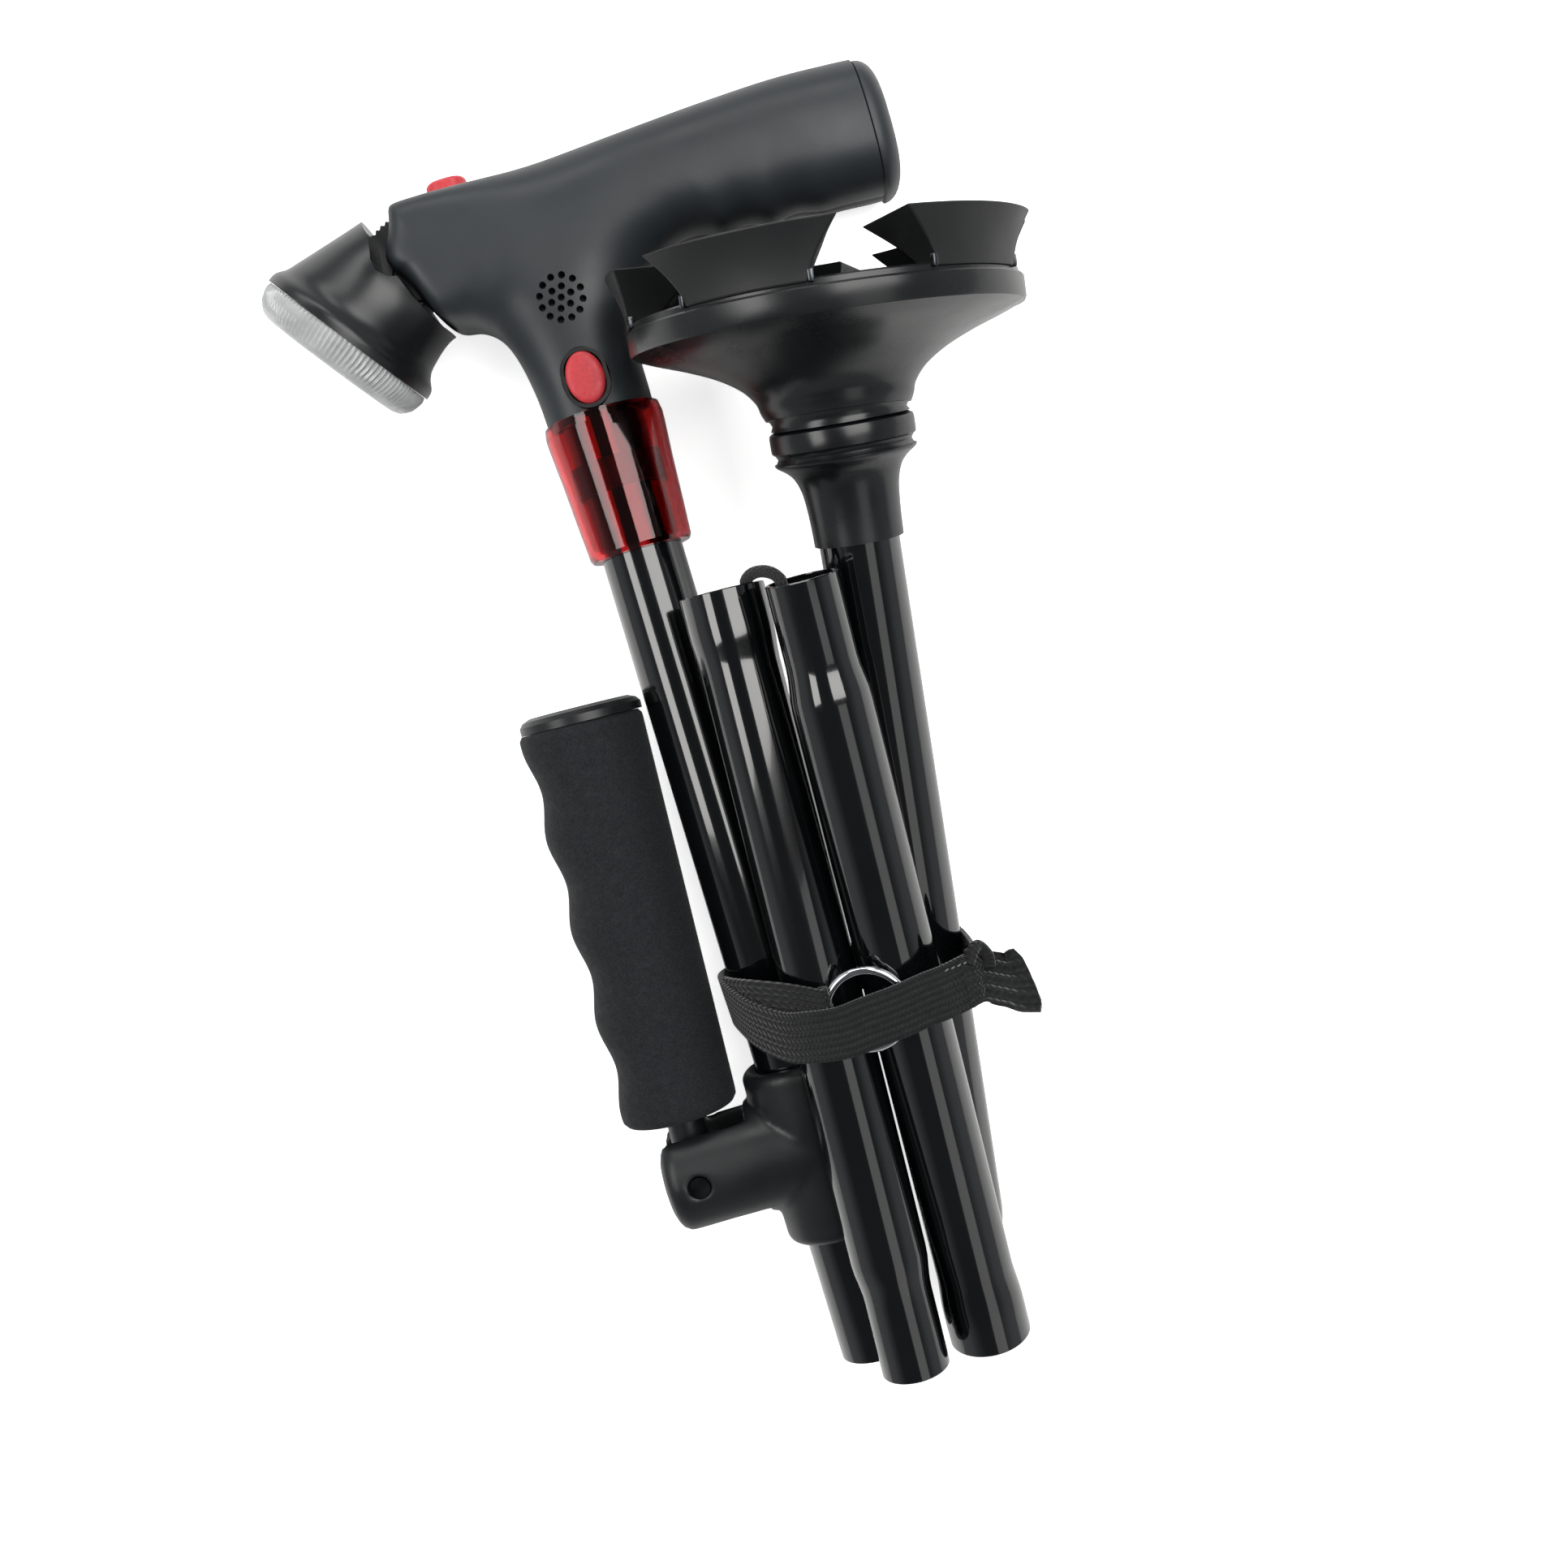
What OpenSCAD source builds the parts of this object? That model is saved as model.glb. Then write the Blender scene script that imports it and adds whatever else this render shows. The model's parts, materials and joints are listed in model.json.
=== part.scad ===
// Folding cane with a lamp, an alarm and a second handle, folded and lying on its side.
// Working frame: the first tube runs along Y with its open end at the origin, the handle's
// flat sides face Z, and lay_down() then turns everything to the way it lies on a table.

/* [Tubes] */
// Outside diameter of the first tube
upper_tube_od = 21.3; // [19:0.1:24]
// Wall of the first tube
upper_tube_wall = 1.5; // [1:0.1:1.6]
// Outside diameter of the three folding tubes
tube_od = 19.8; // [19:0.1:22]
// Wall of the three folding tubes
tube_wall = 0.9; // [0.7:0.1:1]
// Gap all round between a spigot and its socket
spigot_gap = 0.2; // [0.1:0.05:0.4]
// Length of the necked spigot
spigot_len = 21; // [16:1:22]
// Length of the sloped shoulder behind the spigot
shoulder_len = 8; // [5:1:12]
// How much wider the belled socket is than its tube
bell_rise = 1.4; // [0.6:0.1:2]
// Length of the bell
bell_len = 13; // [8:1:18]
// Length of the second and third tubes
section_len = 203; // [190:1:215]
// How much longer the last tube is than these
last_tube_more = 29; // [26:1:34]
// Diameter of the elastic cord
cord_d = 4.2; // [3:0.1:5]
// Radius of the cord's bend at a fold
cord_bend_r = 8; // [7.6:0.1:8.6]

/* [Handle] */
// Length of the handle from its nose to its end cap
handle_len = 124; // [115:1:135]
// Height of the grip's top above the last tube's end
handle_rise = 88; // [86:1:96]
// How far below the grip's top the first tube ends
tube_stop = 58; // [54:1:62]
// Height of the grip
grip_h = 31; // [26:1:36]
// Half of the handle's depth
handle_half = 16.5; // [15:0.5:19]
// Wall of the handle shells
shell_wall = 2.2; // [1.8:0.1:3]
// Radius of the stem where it meets the collar
stem_r = 14; // [13.5:0.1:15]
// Height of the flasher collar
collar_h = 36; // [30:1:40]
// Radius of the collar's upper end
collar_top_r = 15.6; // [15:0.1:16]
// Radius of the collar's lower end
collar_low_r = 13.6; // [13:0.1:14.5]
// Wall of the collar
collar_wall = 1.6; // [1.2:0.1:2]
// Diameter of a battery cell
cell_d = 10.5; // [10:0.1:11]
// Length of a battery cell
cell_len = 44.5; // [42:0.5:46]
// Length of the alarm button along the stem
alarm_len = 12.6; // [11:0.1:14]
// Width of the alarm button
alarm_w = 9.2; // [8:0.1:10]
// Length of the light button along the handle
light_len = 10.6; // [9:0.1:12]
// Width of the light button
light_w = 8; // [7:0.1:9]
// Travel of both buttons
button_travel = 1.2; // [0.8:0.1:1.4]

/* [Lamp] */
// Radius of the lamp head's rim
lamp_rim_r = 23.6; // [22:0.1:25]
// Depth of the lamp head from rim to back
lamp_depth = 25; // [23:0.5:27]
// How far the lens stands out of the rim
lens_h = 6.8; // [5:0.1:8]
// Wall of the lamp head
lamp_wall = 2; // [1.6:0.1:2.6]
// How far the lamp points below the handle
lamp_droop = 36.5; // [30:0.5:42]
// How far the lamp head tilts up
lamp_tilt_range = 20; // [10:1:20]

/* [Second handle] */
// Distance of the second handle's pivot from the first tube's axis
pivot_out = 32; // [30.5:0.5:35]
// Height of the pivot above the first tube's open end
pivot_up = 58.5; // [54:0.5:64]
// Radius of the foam grip
foam_r = 15.2; // [14:0.1:15.4]
// Length of the foam grip
foam_len = 106; // [95:1:115]
// Depth of the finger grooves
finger_depth = 2.2; // [1:0.1:3]
// Number of finger grooves
finger_count = 4; // [3:1:5]
// Lean of the folded second handle towards the tube
grip_lean = 2.4; // [2:0.1:2.6]
// Radius of the bracket's sleeve and fork
bracket_r = 15; // [14:0.1:15.5]
// Height of the bracket's sleeve
sleeve_h = 47; // [42:1:52]

/* [Base] */
// Radius of the base's rim
rim_r = 47.2; // [44:0.2:49]
// Radius across the feet at the sole
sole_r = 50.6; // [48:0.2:51]
// Height of the feet
foot_h = 12.5; // [10:0.5:14]
// Height of the rim
rim_h = 6; // [5:0.5:8]
// Height of the base's cone
cone_h = 19; // [16:0.5:21]
// Radius of the cone's small end and of the neck's rings
neck_r = 17.6; // [16:0.1:19]
// Height of the flexible neck
flex_h = 10; // [9:0.5:12]
// Height of the boot on the last tube
boot_h = 21; // [18:0.5:24]
// Wall of the base's cone
cone_wall = 2.4; // [2:0.1:3]
// Radius of the ball in the base
ball_r = 7; // [6:0.1:8]
// How far the base tilts each way
base_tilt_range = 5; // [2:0.5:5]
// How far the base leans on its ball as the folded cane lies
base_lean = 4; // [0:0.5:4]

/* [Band] */
// Width of the woven band
band_w = 17; // [14:0.5:20]
// Thickness of the woven band
band_t = 1.5; // [1:0.1:2]
// Height of the band's middle above the first tube's open end
band_up = 99; // [95:1:104]
// Outside radius of the chrome ring
ring_r = 10; // [8:0.1:11]
// Thickness of the ring's wire
ring_wire = 2.2; // [1.8:0.1:2.6]

/* [Lie] */
// Pitch of the folded cane as it lies on a table
lie_pitch = -0.78; // [-20:0.01:20]
// Roll of the folded cane as it lies on a table
lie_roll = 3.09; // [-20:0.01:20]

/* [Hidden] */
$fn = 64;
// Tubes and handle one above the other
last_tube_len = section_len + last_tube_more;
handle_top = last_tube_len + handle_rise;
upper_tube_len = handle_top - tube_stop;
// Overrun of every cut
cut = 1;
// Gap between neighbouring pieces that do not move on each other
seat_gap = 0.1;
// Gap between pieces that pass each other
run_gap = 0.35;
// Running gap of a pin in its bore
pin_gap = 0.05;

// Gaps between the walls of neighbouring tubes at the folded bundle's foot and head
foot_gaps = [1.2, 3.2, 3.8];
head_gaps = [10.4, 5.4, 3.4];
// Directions in which each next tube lies at the bundle's foot and head
foot_fan = [67, -26, -90];
head_fan = [55, 39.5, -46];
// How far the third tube's top and the last tube's foot lie below the bundle's ends
top_drop = 3.8;
tail_drop = 4;
// Room left between two tube ends when they are swung in line
fold_gap = 1;

upper_r = upper_tube_od / 2;
upper_bore_r = upper_r - upper_tube_wall;
tube_r = tube_od / 2;
bore_r = tube_r - tube_wall;
spigot_r = min(bore_r, upper_bore_r) - spigot_gap;
spigot_bore_r = spigot_r - tube_wall;
bell_r = tube_r + bell_rise / 2;
bell_bore_r = bell_r - tube_wall;
seat_travel = spigot_len;
cord_r = cord_d / 2;

// Places of the tubes in the folded bundle
function unit(v) = v / norm(v);
function polar(d, a) = [d * cos(a), d * sin(a)];
pair_d = [upper_r + tube_r, tube_od, tube_od];
fan_foot_2 = polar(pair_d[0] + foot_gaps[0], foot_fan[0]);
fan_foot_3 = fan_foot_2 + polar(pair_d[1] + foot_gaps[1], foot_fan[1]);
fan_foot_4 = fan_foot_3 + polar(pair_d[2] + foot_gaps[2], foot_fan[2]);
fan_head_2 = polar(pair_d[0] + head_gaps[0], head_fan[0]);
fan_head_3 = fan_head_2 + polar(pair_d[1] + head_gaps[1], head_fan[1]);
fan_head_4 = fan_head_3 + polar(pair_d[2] + head_gaps[2], head_fan[2]);
function rise(foot, head) = unit([head.x - foot.x, section_len, head.y - foot.y]);
dir_1 = [0, 1, 0];
dir_2 = rise(fan_foot_2, fan_head_2);
dir_3 = rise(fan_foot_3, fan_head_3);
dir_4 = rise(fan_foot_4, fan_head_4);
low_2 = [fan_foot_2.x, 0, fan_foot_2.y];
top_2 = low_2 + section_len * dir_2;
top_3 = [fan_head_3.x, section_len, fan_head_3.y] - top_drop * dir_3;
low_3 = top_3 - section_len * dir_3;
low_4 = [fan_foot_4.x, 0, fan_foot_4.y] - tail_drop * dir_4;

// Hinge of a fold: the turn, away from the tube before it, that brings the next tube in line with that tube
function fold_line(from, from_dir, to, to_dir) = unit(cross(from_dir - to_dir, to - from));
function fold_axis(from, from_dir, to, to_dir) =
    let (n = fold_line(from, from_dir, to, to_dir))
    n * sign(cross(n, from_dir) * (from - to));
function fold_turn(n, from_dir, to_dir) =
    atan2(n * cross(from_dir, to_dir), from_dir * to_dir - (n * from_dir) * (n * to_dir));
function fold_angle(n, from_dir, to_dir) = (fold_turn(n, from_dir, to_dir) + 360) % 360;
function fold_pivot(n, a, from, to) = (from + to) / 2 + cross(n, to - from) / (2 * tan(a / 2));
line_2 = -fold_gap * dir_1;
line_3 = top_2 + fold_gap * dir_2;
line_4 = low_3 - fold_gap * dir_3;
axis_12 = fold_axis(low_2, dir_2, line_2, -dir_1);
axis_23 = fold_axis(top_3, -dir_3, line_3, dir_2);
axis_34 = fold_axis(low_4, dir_4, line_4, -dir_3);
angle_12 = fold_angle(axis_12, dir_2, -dir_1);
angle_23 = fold_angle(axis_23, -dir_3, dir_2);
angle_34 = fold_angle(axis_34, dir_4, -dir_3);
pivot_12 = fold_pivot(axis_12, angle_12, low_2, line_2);
pivot_23 = fold_pivot(axis_23, angle_23, top_3, line_3);
pivot_34 = fold_pivot(axis_34, angle_34, low_4, line_4);

// Tools for placing and shaping
// Shift that brings the lying cane's lowest point to the ground and its middle over the origin
lie_shift = [-20.36, -155.14, 24.54];
module lay_down() {
    translate(lie_shift) rotate([0, lie_roll, 0]) rotate([lie_pitch, 0, 0]) children();
}
module place(at, dir) {
    translate(at) rotate([0, 0, -atan2(dir.x, dir.y)]) rotate([asin(dir.z), 0, 0])
        rotate([-90, 0, 0]) children();
}
module along_y(at) {
    place([0, at, 0], dir_1) children();
}
module pipe(ro, ri, h) {
    difference() {
        cylinder(r = ro, h = h);
        translate([0, 0, -cut]) cylinder(r = ri, h = h + 2 * cut);
    }
}
module rod(from, to, r) {
    place(from, unit(to - from)) cylinder(r = r, h = norm(to - from));
}
// Oval bar along Z whose long side runs along X
module oval(long, wide, h) {
    for (side = [-1, 1]) translate([side * (long - wide) / 2, 0, 0]) cylinder(r = wide / 2, h = h);
    translate([-(long - wide) / 2, -wide / 2, 0]) cube([long - wide, wide, h]);
}
function scaled(shares, r, h) = [for (p = shares) [p.x * r, p.y * h]];

// Tubes
tube_paint = "#17181a";
bell_slope = 2.5;
module section(len) {
    neck_end = spigot_len + shoulder_len;
    bell_start = len - bell_len;
    rotate_extrude() polygon([[spigot_bore_r, 0], [spigot_r, 0], [spigot_r, spigot_len], [tube_r, neck_end],
        [tube_r, bell_start - bell_slope], [bell_r, bell_start], [bell_r, len], [bell_bore_r, len],
        [bell_bore_r, bell_start], [bore_r, bell_start - bell_slope], [bore_r, neck_end],
        [spigot_bore_r, spigot_len]]);
}
module tube_1() {
    color(tube_paint) lay_down() along_y(0) pipe(upper_r, upper_bore_r, upper_tube_len);
}
module tube_2() {
    color(tube_paint) lay_down() place(low_2, dir_2) section(section_len);
}
module tube_3() {
    color(tube_paint) lay_down() place(top_3, -dir_3) section(section_len);
}
module tube_4() {
    neck_end = spigot_len + shoulder_len;
    color(tube_paint) lay_down() place(low_4, dir_4) rotate_extrude() polygon([[spigot_bore_r, 0],
        [spigot_r, 0], [spigot_r, spigot_len], [tube_r, neck_end], [tube_r, last_tube_len],
        [bore_r, last_tube_len], [bore_r, neck_end], [spigot_bore_r, spigot_len]]);
}

// Elastic cord: a run in each tube and a half turn round each fold's hinge
cord_black = "#1b1b1c";
cord_break = 0.4;
anchor_h = 6;
anchor_stop = [26, 32];
anchor_up = upper_tube_len - anchor_stop.x;
anchor_low = last_tube_len - anchor_stop.y;
function away(n, w) = unit(w - (w * n) * n);
function turn_to(n, w) =
    let (b = -atan2(n.x, n.y), ax = [cos(b), sin(b), 0], ay = cross(n, ax))
    atan2(w * ay, w * ax) - 90;
function bend_end(p, n, w, near) =
    let (e = unit(cross(n, away(n, w))))
    p + sign((near - p) * e) * cord_bend_r * e;
module bend(p, n, w) {
    place(p, n) rotate([0, 0, turn_to(n, away(n, w))])
        rotate_extrude(angle = 180) translate([cord_bend_r, 0]) circle(r = cord_r);
}
module run(from, to) {
    step = unit(to - from) * cord_break;
    rod(from + step, to - step, cord_r);
}
down = -dir_1;
end_1a = bend_end(pivot_12, axis_12, down, [0, 0, 0]);
end_2a = bend_end(pivot_12, axis_12, down, low_2);
end_2b = bend_end(pivot_23, axis_23, dir_1, top_2);
end_3b = bend_end(pivot_23, axis_23, dir_1, top_3);
end_3a = bend_end(pivot_34, axis_34, down, low_3);
end_4a = bend_end(pivot_34, axis_34, down, low_4);
module cord_1() {
    color(cord_black) lay_down() run(end_1a, [0, anchor_up, 0]);
}
module cord_2() {
    color(cord_black) lay_down() run(end_2a, end_2b);
}
module cord_3() {
    color(cord_black) lay_down() run(end_3a, end_3b);
}
module cord_4() {
    color(cord_black) lay_down() run(end_4a, low_4 + anchor_low * dir_4);
}
module cord_bend_12() {
    color(cord_black) lay_down() bend(pivot_12, axis_12, down);
}
module cord_bend_23() {
    color(cord_black) lay_down() bend(pivot_23, axis_23, dir_1);
}
module cord_bend_34() {
    color(cord_black) lay_down() bend(pivot_34, axis_34, down);
}
module cord_anchor_top() {
    color("#8d8f92") lay_down() along_y(anchor_up) cylinder(r = upper_bore_r - seat_gap, h = anchor_h);
}
module cord_anchor_low() {
    color("#8d8f92") lay_down() place(low_4 + anchor_low * dir_4, dir_4)
        cylinder(r = bore_r - seat_gap, h = anchor_h);
}

// Handle shells: an outline in the parting plane, swelled out to a ridge
handle_grey = "#3a3c3f";
nose_share = 0.295;
stem_share = 2.061;
shell_share = 0.988;
nose_x = -handle_len * nose_share;
shell_end = nose_x + handle_len * shell_share;
stem_low = handle_top - grip_h * stem_share;
fullness = 0.8;
ring_steps = 6;
// Ridge points: share of the length from the nose, of the height below the top, of the half depth
ridge_shares = [[0.295, 2.061, 0.848], [0.295, 1.87, 0.848], [0.295, 1.677, 0.848], [0.295, 1.452, 0.855],
    [0.295, 1.26, 0.885], [0.295, 0.65, 0.97], [0.424, 0.484, 1], [0.521, 0.452, 1], [0.601, 0.452, 1],
    [0.674, 0.452, 1], [0.747, 0.452, 1], [0.811, 0.452, 1], [0.868, 0.468, 0.99], [0.932, 0.5, 0.97],
    [0.988, 0.535, 0.955], [0.182, 0.5, 0.97], [0.077, 0.484, 0.91]];
// Stem's right side: share of the height below the top, ridge point it rises to
side_shares = [[1.87, 1], [1.677, 2], [1.452, 3]];
// Outline points: share of the length from the nose, of the height below the top, ridge point they rise to
under_shares = [[0.426, 1.258, 4], [0.468, 1.068, 5], [0.526, 0.919, 6], [0.583, 0.852, 7], [0.634, 0.871, 8],
    [0.689, 0.929, 9], [0.749, 0.955, 10], [0.81, 0.948, 11], [0.868, 0.981, 12], [0.931, 1.052, 13],
    [0.988, 1.097, 14]];
over_shares = [[0.988, -0.026, 14], [0.924, -0.055, 13], [0.86, -0.071, 12], [0.799, -0.074, 11],
    [0.739, -0.071, 10], [0.666, -0.061, 9], [0.593, -0.045, 8], [0.517, -0.029, 7], [0.42, -0.013, 6],
    [0.295, 0, 5], [0.198, 0.006, 15], [0.093, 0.013, 16], [0.025, 0.026, 16], [0, 0.145, 16],
    [0, 0.355, 16], [0, 0.548, 16], [0, 0.742, 16], [0, 0.839, 16], [0.017, 0.968, 16], [0.045, 1.071, 16],
    [0.089, 1.129, 15], [0.127, 1.232, 5], [0.148, 1.403, 4]];
left_shares = [[0.159, 1.581, 3], [0.169, 1.742, 2], [0.177, 1.903, 1]];
function spot(sx, sy) = [nose_x + sx * handle_len, handle_top - sy * grip_h];
ridge = [for (q = ridge_shares) let (p = spot(q[0], q[1])) [p.x, p.y, q[2] * handle_half]];
outline = concat([[stem_r, stem_low, 0]],
    [for (q = side_shares) [stem_r, handle_top - q[0] * grip_h, q[1]]],
    [for (q = under_shares) concat(spot(q[0], q[1]), [q[2]])],
    [for (q = over_shares) concat(spot(q[0], q[1]), [q[2]])],
    [for (q = left_shares) concat(spot(q[0], q[1]), [q[2]])],
    [[-stem_r, stem_low, 0]]);
n_out = len(outline);
function pulled(i, wall) =
    let (m = ridge[outline[i][2]], d = [outline[i].x - m.x, outline[i].y - m.y])
    [m.x, m.y] + d * (1 - wall / norm(d));
function lift_point(i, k, wall) =
    let (m = ridge[outline[i][2]], a = 90 * k / ring_steps, e = pulled(i, wall))
    [m.x + (e.x - m.x) * pow(cos(a), fullness), m.y + (e.y - m.y) * pow(cos(a), fullness),
        (m.z - wall) * pow(sin(a), fullness)];
function shell_skin(wall) = concat(
    [for (k = [0 : ring_steps - 1]) for (i = [0 : n_out - 1]) lift_point(i, k, wall)],
    [for (m = ridge) [m.x, m.y, m.z - wall]]);
// Steps of the outline that are open ends: the battery side and the stem
open_ends = [len(side_shares) + len(under_shares), n_out - 1];
skin_count = ring_steps * n_out + len(ridge);
function is_open(i) = len([for (e = open_ends) if (e == i) e]) > 0;
function at(skin, k, i) = skin * skin_count
    + (k == ring_steps ? k * n_out + outline[i % n_out][2] : k * n_out + i % n_out);
function turned(faces) = [for (f = faces) [f[0], f[2], f[1]]];
function skin_faces(skin) = [for (i = [0 : n_out - 1]) if (!is_open(i)) each concat(
    [for (k = [0 : ring_steps - 1]) [at(skin, k, i), at(skin, k + 1, i), at(skin, k, i + 1)]],
    [for (k = [0 : ring_steps - 2]) [at(skin, k + 1, i), at(skin, k + 1, i + 1), at(skin, k, i + 1)]],
    outline[i][2] == outline[i + 1][2] ? [] :
        [[at(skin, ring_steps, i), at(skin, ring_steps, i + 1), at(skin, ring_steps - 1, i + 1)]])];
function rim_faces() = [for (i = [0 : n_out - 1]) if (!is_open(i))
    each [[at(0, 0, i), at(0, 0, i + 1), at(1, 0, i + 1)], [at(0, 0, i), at(1, 0, i + 1), at(1, 0, i)]]];
function end_faces() = [for (e = open_ends) for (k = [0 : ring_steps - 1]) each [
    [at(0, k, e), at(0, k + 1, e), at(1, k, e)], [at(0, k + 1, e), at(1, k + 1, e), at(1, k, e)],
    [at(0, k + 1, e + 1), at(0, k, e + 1), at(1, k, e + 1)],
    [at(0, k + 1, e + 1), at(1, k, e + 1), at(1, k + 1, e + 1)]]];
module half_shell() {
    polyhedron(concat(shell_skin(0), shell_skin(shell_wall)),
        concat(skin_faces(0), turned(skin_faces(1)), rim_faces(), end_faces()));
}

// Handle fittings
button_red = "#b5161b";
steel = "#b9bcc0";
light_x_share = 0.137;
light_x = nose_x + handle_len * light_x_share;
light_stand = 3.8;
light_body = 8.8;
flange_t = 1.5;
flange_out = 0.9;
// Share of the grip's height that the top lies below its datum at the light button
light_dip_share = 0.006;
light_low = handle_top - grip_h * light_dip_share + light_stand - light_body;
alarm_share = 0.62;
alarm_up = stem_low + alarm_len * alarm_share;
bezel_out = 1.3;
bezel_t = 3.2;
bezel_stand = 0.7;
bezel_z = stem_r - bezel_t + bezel_stand;
alarm_stand = 0.9;
alarm_body = 2.6;
grille_share = 1.148;
grille_up = handle_top - grip_h * grille_share;
grille_hole_r = 0.8;
grille_rows = [[0, 1], [2.6, 6], [5.2, 12]];
lamp_in = 3.6;
lamp_down = 17;
lamp_at = [nose_x + lamp_in, handle_top - lamp_down, 0];
lamp_pin_r = 2;
lamp_pin_half = 10;
knuckle_r = 7.5;
knuckle_half = 6;
slot_half = knuckle_half + run_gap;
slot_r = knuckle_r + 2 * run_gap;
slot_low_share = 1.35;
slot_top_share = 1;
boss_r = 4;
screw_r = 1.25;
screw_head_r = 2.6;
screw_head_h = 1.6;
screw_sink = 3;
screw_shares = [[0.27, 0.22], [0.45, 0.24], [0.42, 0.74]];
screw_tip = 3;
module at_light(y) {
    translate([light_x, y, 0]) rotate([-90, 0, 0]) children();
}
module at_alarm(z) {
    translate([0, alarm_up, z]) rotate([0, 0, 90]) children();
}
module shell_cuts() {
    at_light(light_low - cut) oval(light_len + 2 * run_gap, light_w + 2 * run_gap, 3 * light_body);
    translate([lamp_at.x, lamp_at.y, -slot_half]) cylinder(r = slot_r, h = 2 * slot_half);
    translate([lamp_at.x - lamp_depth, lamp_at.y - slot_low_share * slot_r, -slot_half])
        cube([lamp_depth, (slot_low_share + slot_top_share) * slot_r, 2 * slot_half]);
    translate([lamp_at.x, lamp_at.y, -lamp_pin_half - seat_gap])
        cylinder(r = lamp_pin_r + pin_gap, h = 2 * lamp_pin_half + 2 * seat_gap);
}
module lamp_boss() {
    translate([lamp_at.x, lamp_at.y, slot_half])
        cylinder(r = boss_r, h = lamp_pin_half - slot_half + shell_wall / 2);
}
module handle_front_shell() {
    color(handle_grey) lay_down() translate([0, 0, seat_gap / 2]) difference() {
        union() {
            half_shell();
            lamp_boss();
        }
        shell_cuts();
        at_alarm(bezel_z - cut) oval(alarm_len + 2 * bezel_out + 2 * seat_gap,
            alarm_w + 2 * bezel_out + 2 * seat_gap, 2 * stem_r);
        for (row = grille_rows) for (k = [1 : row[1]])
            translate([row[0] * cos(360 * k / row[1]), grille_up + row[0] * sin(360 * k / row[1]), 0])
                cylinder(r = grille_hole_r, h = 2 * handle_half, $fn = 16);
    }
}
module at_screws() {
    for (q = screw_shares)
        translate(concat(spot(q[0], q[1]), [handle_half - screw_sink])) children();
}
module handle_back_shell() {
    color(handle_grey) lay_down() translate([0, 0, -seat_gap / 2]) mirror([0, 0, 1]) difference() {
        union() {
            half_shell();
            lamp_boss();
            at_screws() translate([0, 0, -handle_half + screw_sink + screw_tip])
                cylinder(r = boss_r, h = handle_half - screw_sink - screw_tip);
        }
        shell_cuts();
        at_screws() translate([0, 0, -screw_head_h]) cylinder(r = screw_head_r + seat_gap, h = handle_half);
        at_screws() translate([0, 0, -handle_half]) cylinder(r = screw_r + seat_gap, h = handle_half);
    }
}
module handle_screws() {
    color(steel) lay_down() mirror([0, 0, 1]) at_screws() {
        translate([0, 0, -screw_head_h + seat_gap]) cylinder(r = screw_head_r, h = screw_head_h - seat_gap);
        translate([0, 0, -handle_half + screw_sink + screw_tip])
            cylinder(r = screw_r, h = handle_half - screw_sink - screw_tip - screw_head_h + 2 * seat_gap);
    }
}

// Battery side of the grip
cap_stand = 4.8;
cap_len = handle_len * (1 - shell_share) + cap_stand;
plug_len = 2.4;
cap_steps = 6;
cap_turns = 40;
cap_bulge = 0.45;
plug_share = 0.68;
cap_half = [(outline[15].y - outline[14].y) / 2, ridge[14].z];
cap_centre = (outline[15].y + outline[14].y) / 2;
function rounded(t) = sign(t) * pow(abs(t), fullness);
function cap_ring(x, f) = [for (i = [0 : cap_turns - 1]) let (a = 360 * i / cap_turns)
    [x, cap_centre + cap_half.x * f * rounded(sin(a)), cap_half.y * f * rounded(cos(a))]];
cap_rings = concat([cap_ring(shell_end - plug_len, plug_share), cap_ring(shell_end + seat_gap, plug_share)],
    [for (k = [0 : cap_steps - 1]) let (d = 90 * k / cap_steps)
        cap_ring(shell_end + seat_gap + cap_len * sin(d), pow(cos(d), cap_bulge))]);
function cap_at(k, i) = k * cap_turns + i % cap_turns;
module battery_cap() {
    last = len(cap_rings) - 1;
    points = concat([for (r = cap_rings) each r], [[shell_end + seat_gap + cap_len, cap_centre, 0]]);
    sides = [for (k = [0 : last - 1]) for (i = [0 : cap_turns - 1])
        each [[cap_at(k, i), cap_at(k + 1, i), cap_at(k + 1, i + 1)],
            [cap_at(k, i), cap_at(k + 1, i + 1), cap_at(k, i + 1)]]];
    ends = [for (i = [0 : cap_turns - 1]) [cap_at(last, i), len(points) - 1, cap_at(last, i + 1)]];
    base = [for (i = [0 : cap_turns - 1]) i];
    color(handle_grey) lay_down() polyhedron(points, concat([base], sides, ends));
}
cell_end = shell_end - plug_len - 4 * seat_gap;
cell_share = 0.452;
cell_up = handle_top - grip_h * cell_share;
cell_spread = (cell_d + seat_gap) / sqrt(3);
contact_t = 0.8;
contact_r = 9.4;
module at_cells() {
    for (k = [0 : 2]) translate([cell_end - cell_len, cell_up, 0]) rotate([0, 90, 0])
        rotate([0, 0, 120 * k + 90]) translate([cell_spread, 0, 0]) children();
}
module battery_cells() {
    color("#2f6b3a") lay_down() at_cells() cylinder(r = cell_d / 2, h = cell_len);
}
module battery_contacts() {
    color(steel) lay_down() translate([cell_end - cell_len - contact_t - seat_gap, cell_up, 0])
        rotate([0, 90, 0]) cylinder(r = contact_r, h = contact_t);
}
board_shares = [0.106, 0.806];
board_room = 17.07;
board_end = cell_end - cell_len - board_room;
board_corner = spot(board_shares.x, board_shares.y);
board = [board_end - board_corner.x, 17.6, 1.6];
board_z = -screw_tip + seat_gap;
module circuit_board() {
    corner = board_corner;
    color("#1f5c3a") lay_down() translate([corner.x, corner.y, board_z]) cube(board);
}
siren_r = 6.4;
siren_t = 3;
siren_z = 8;
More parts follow.
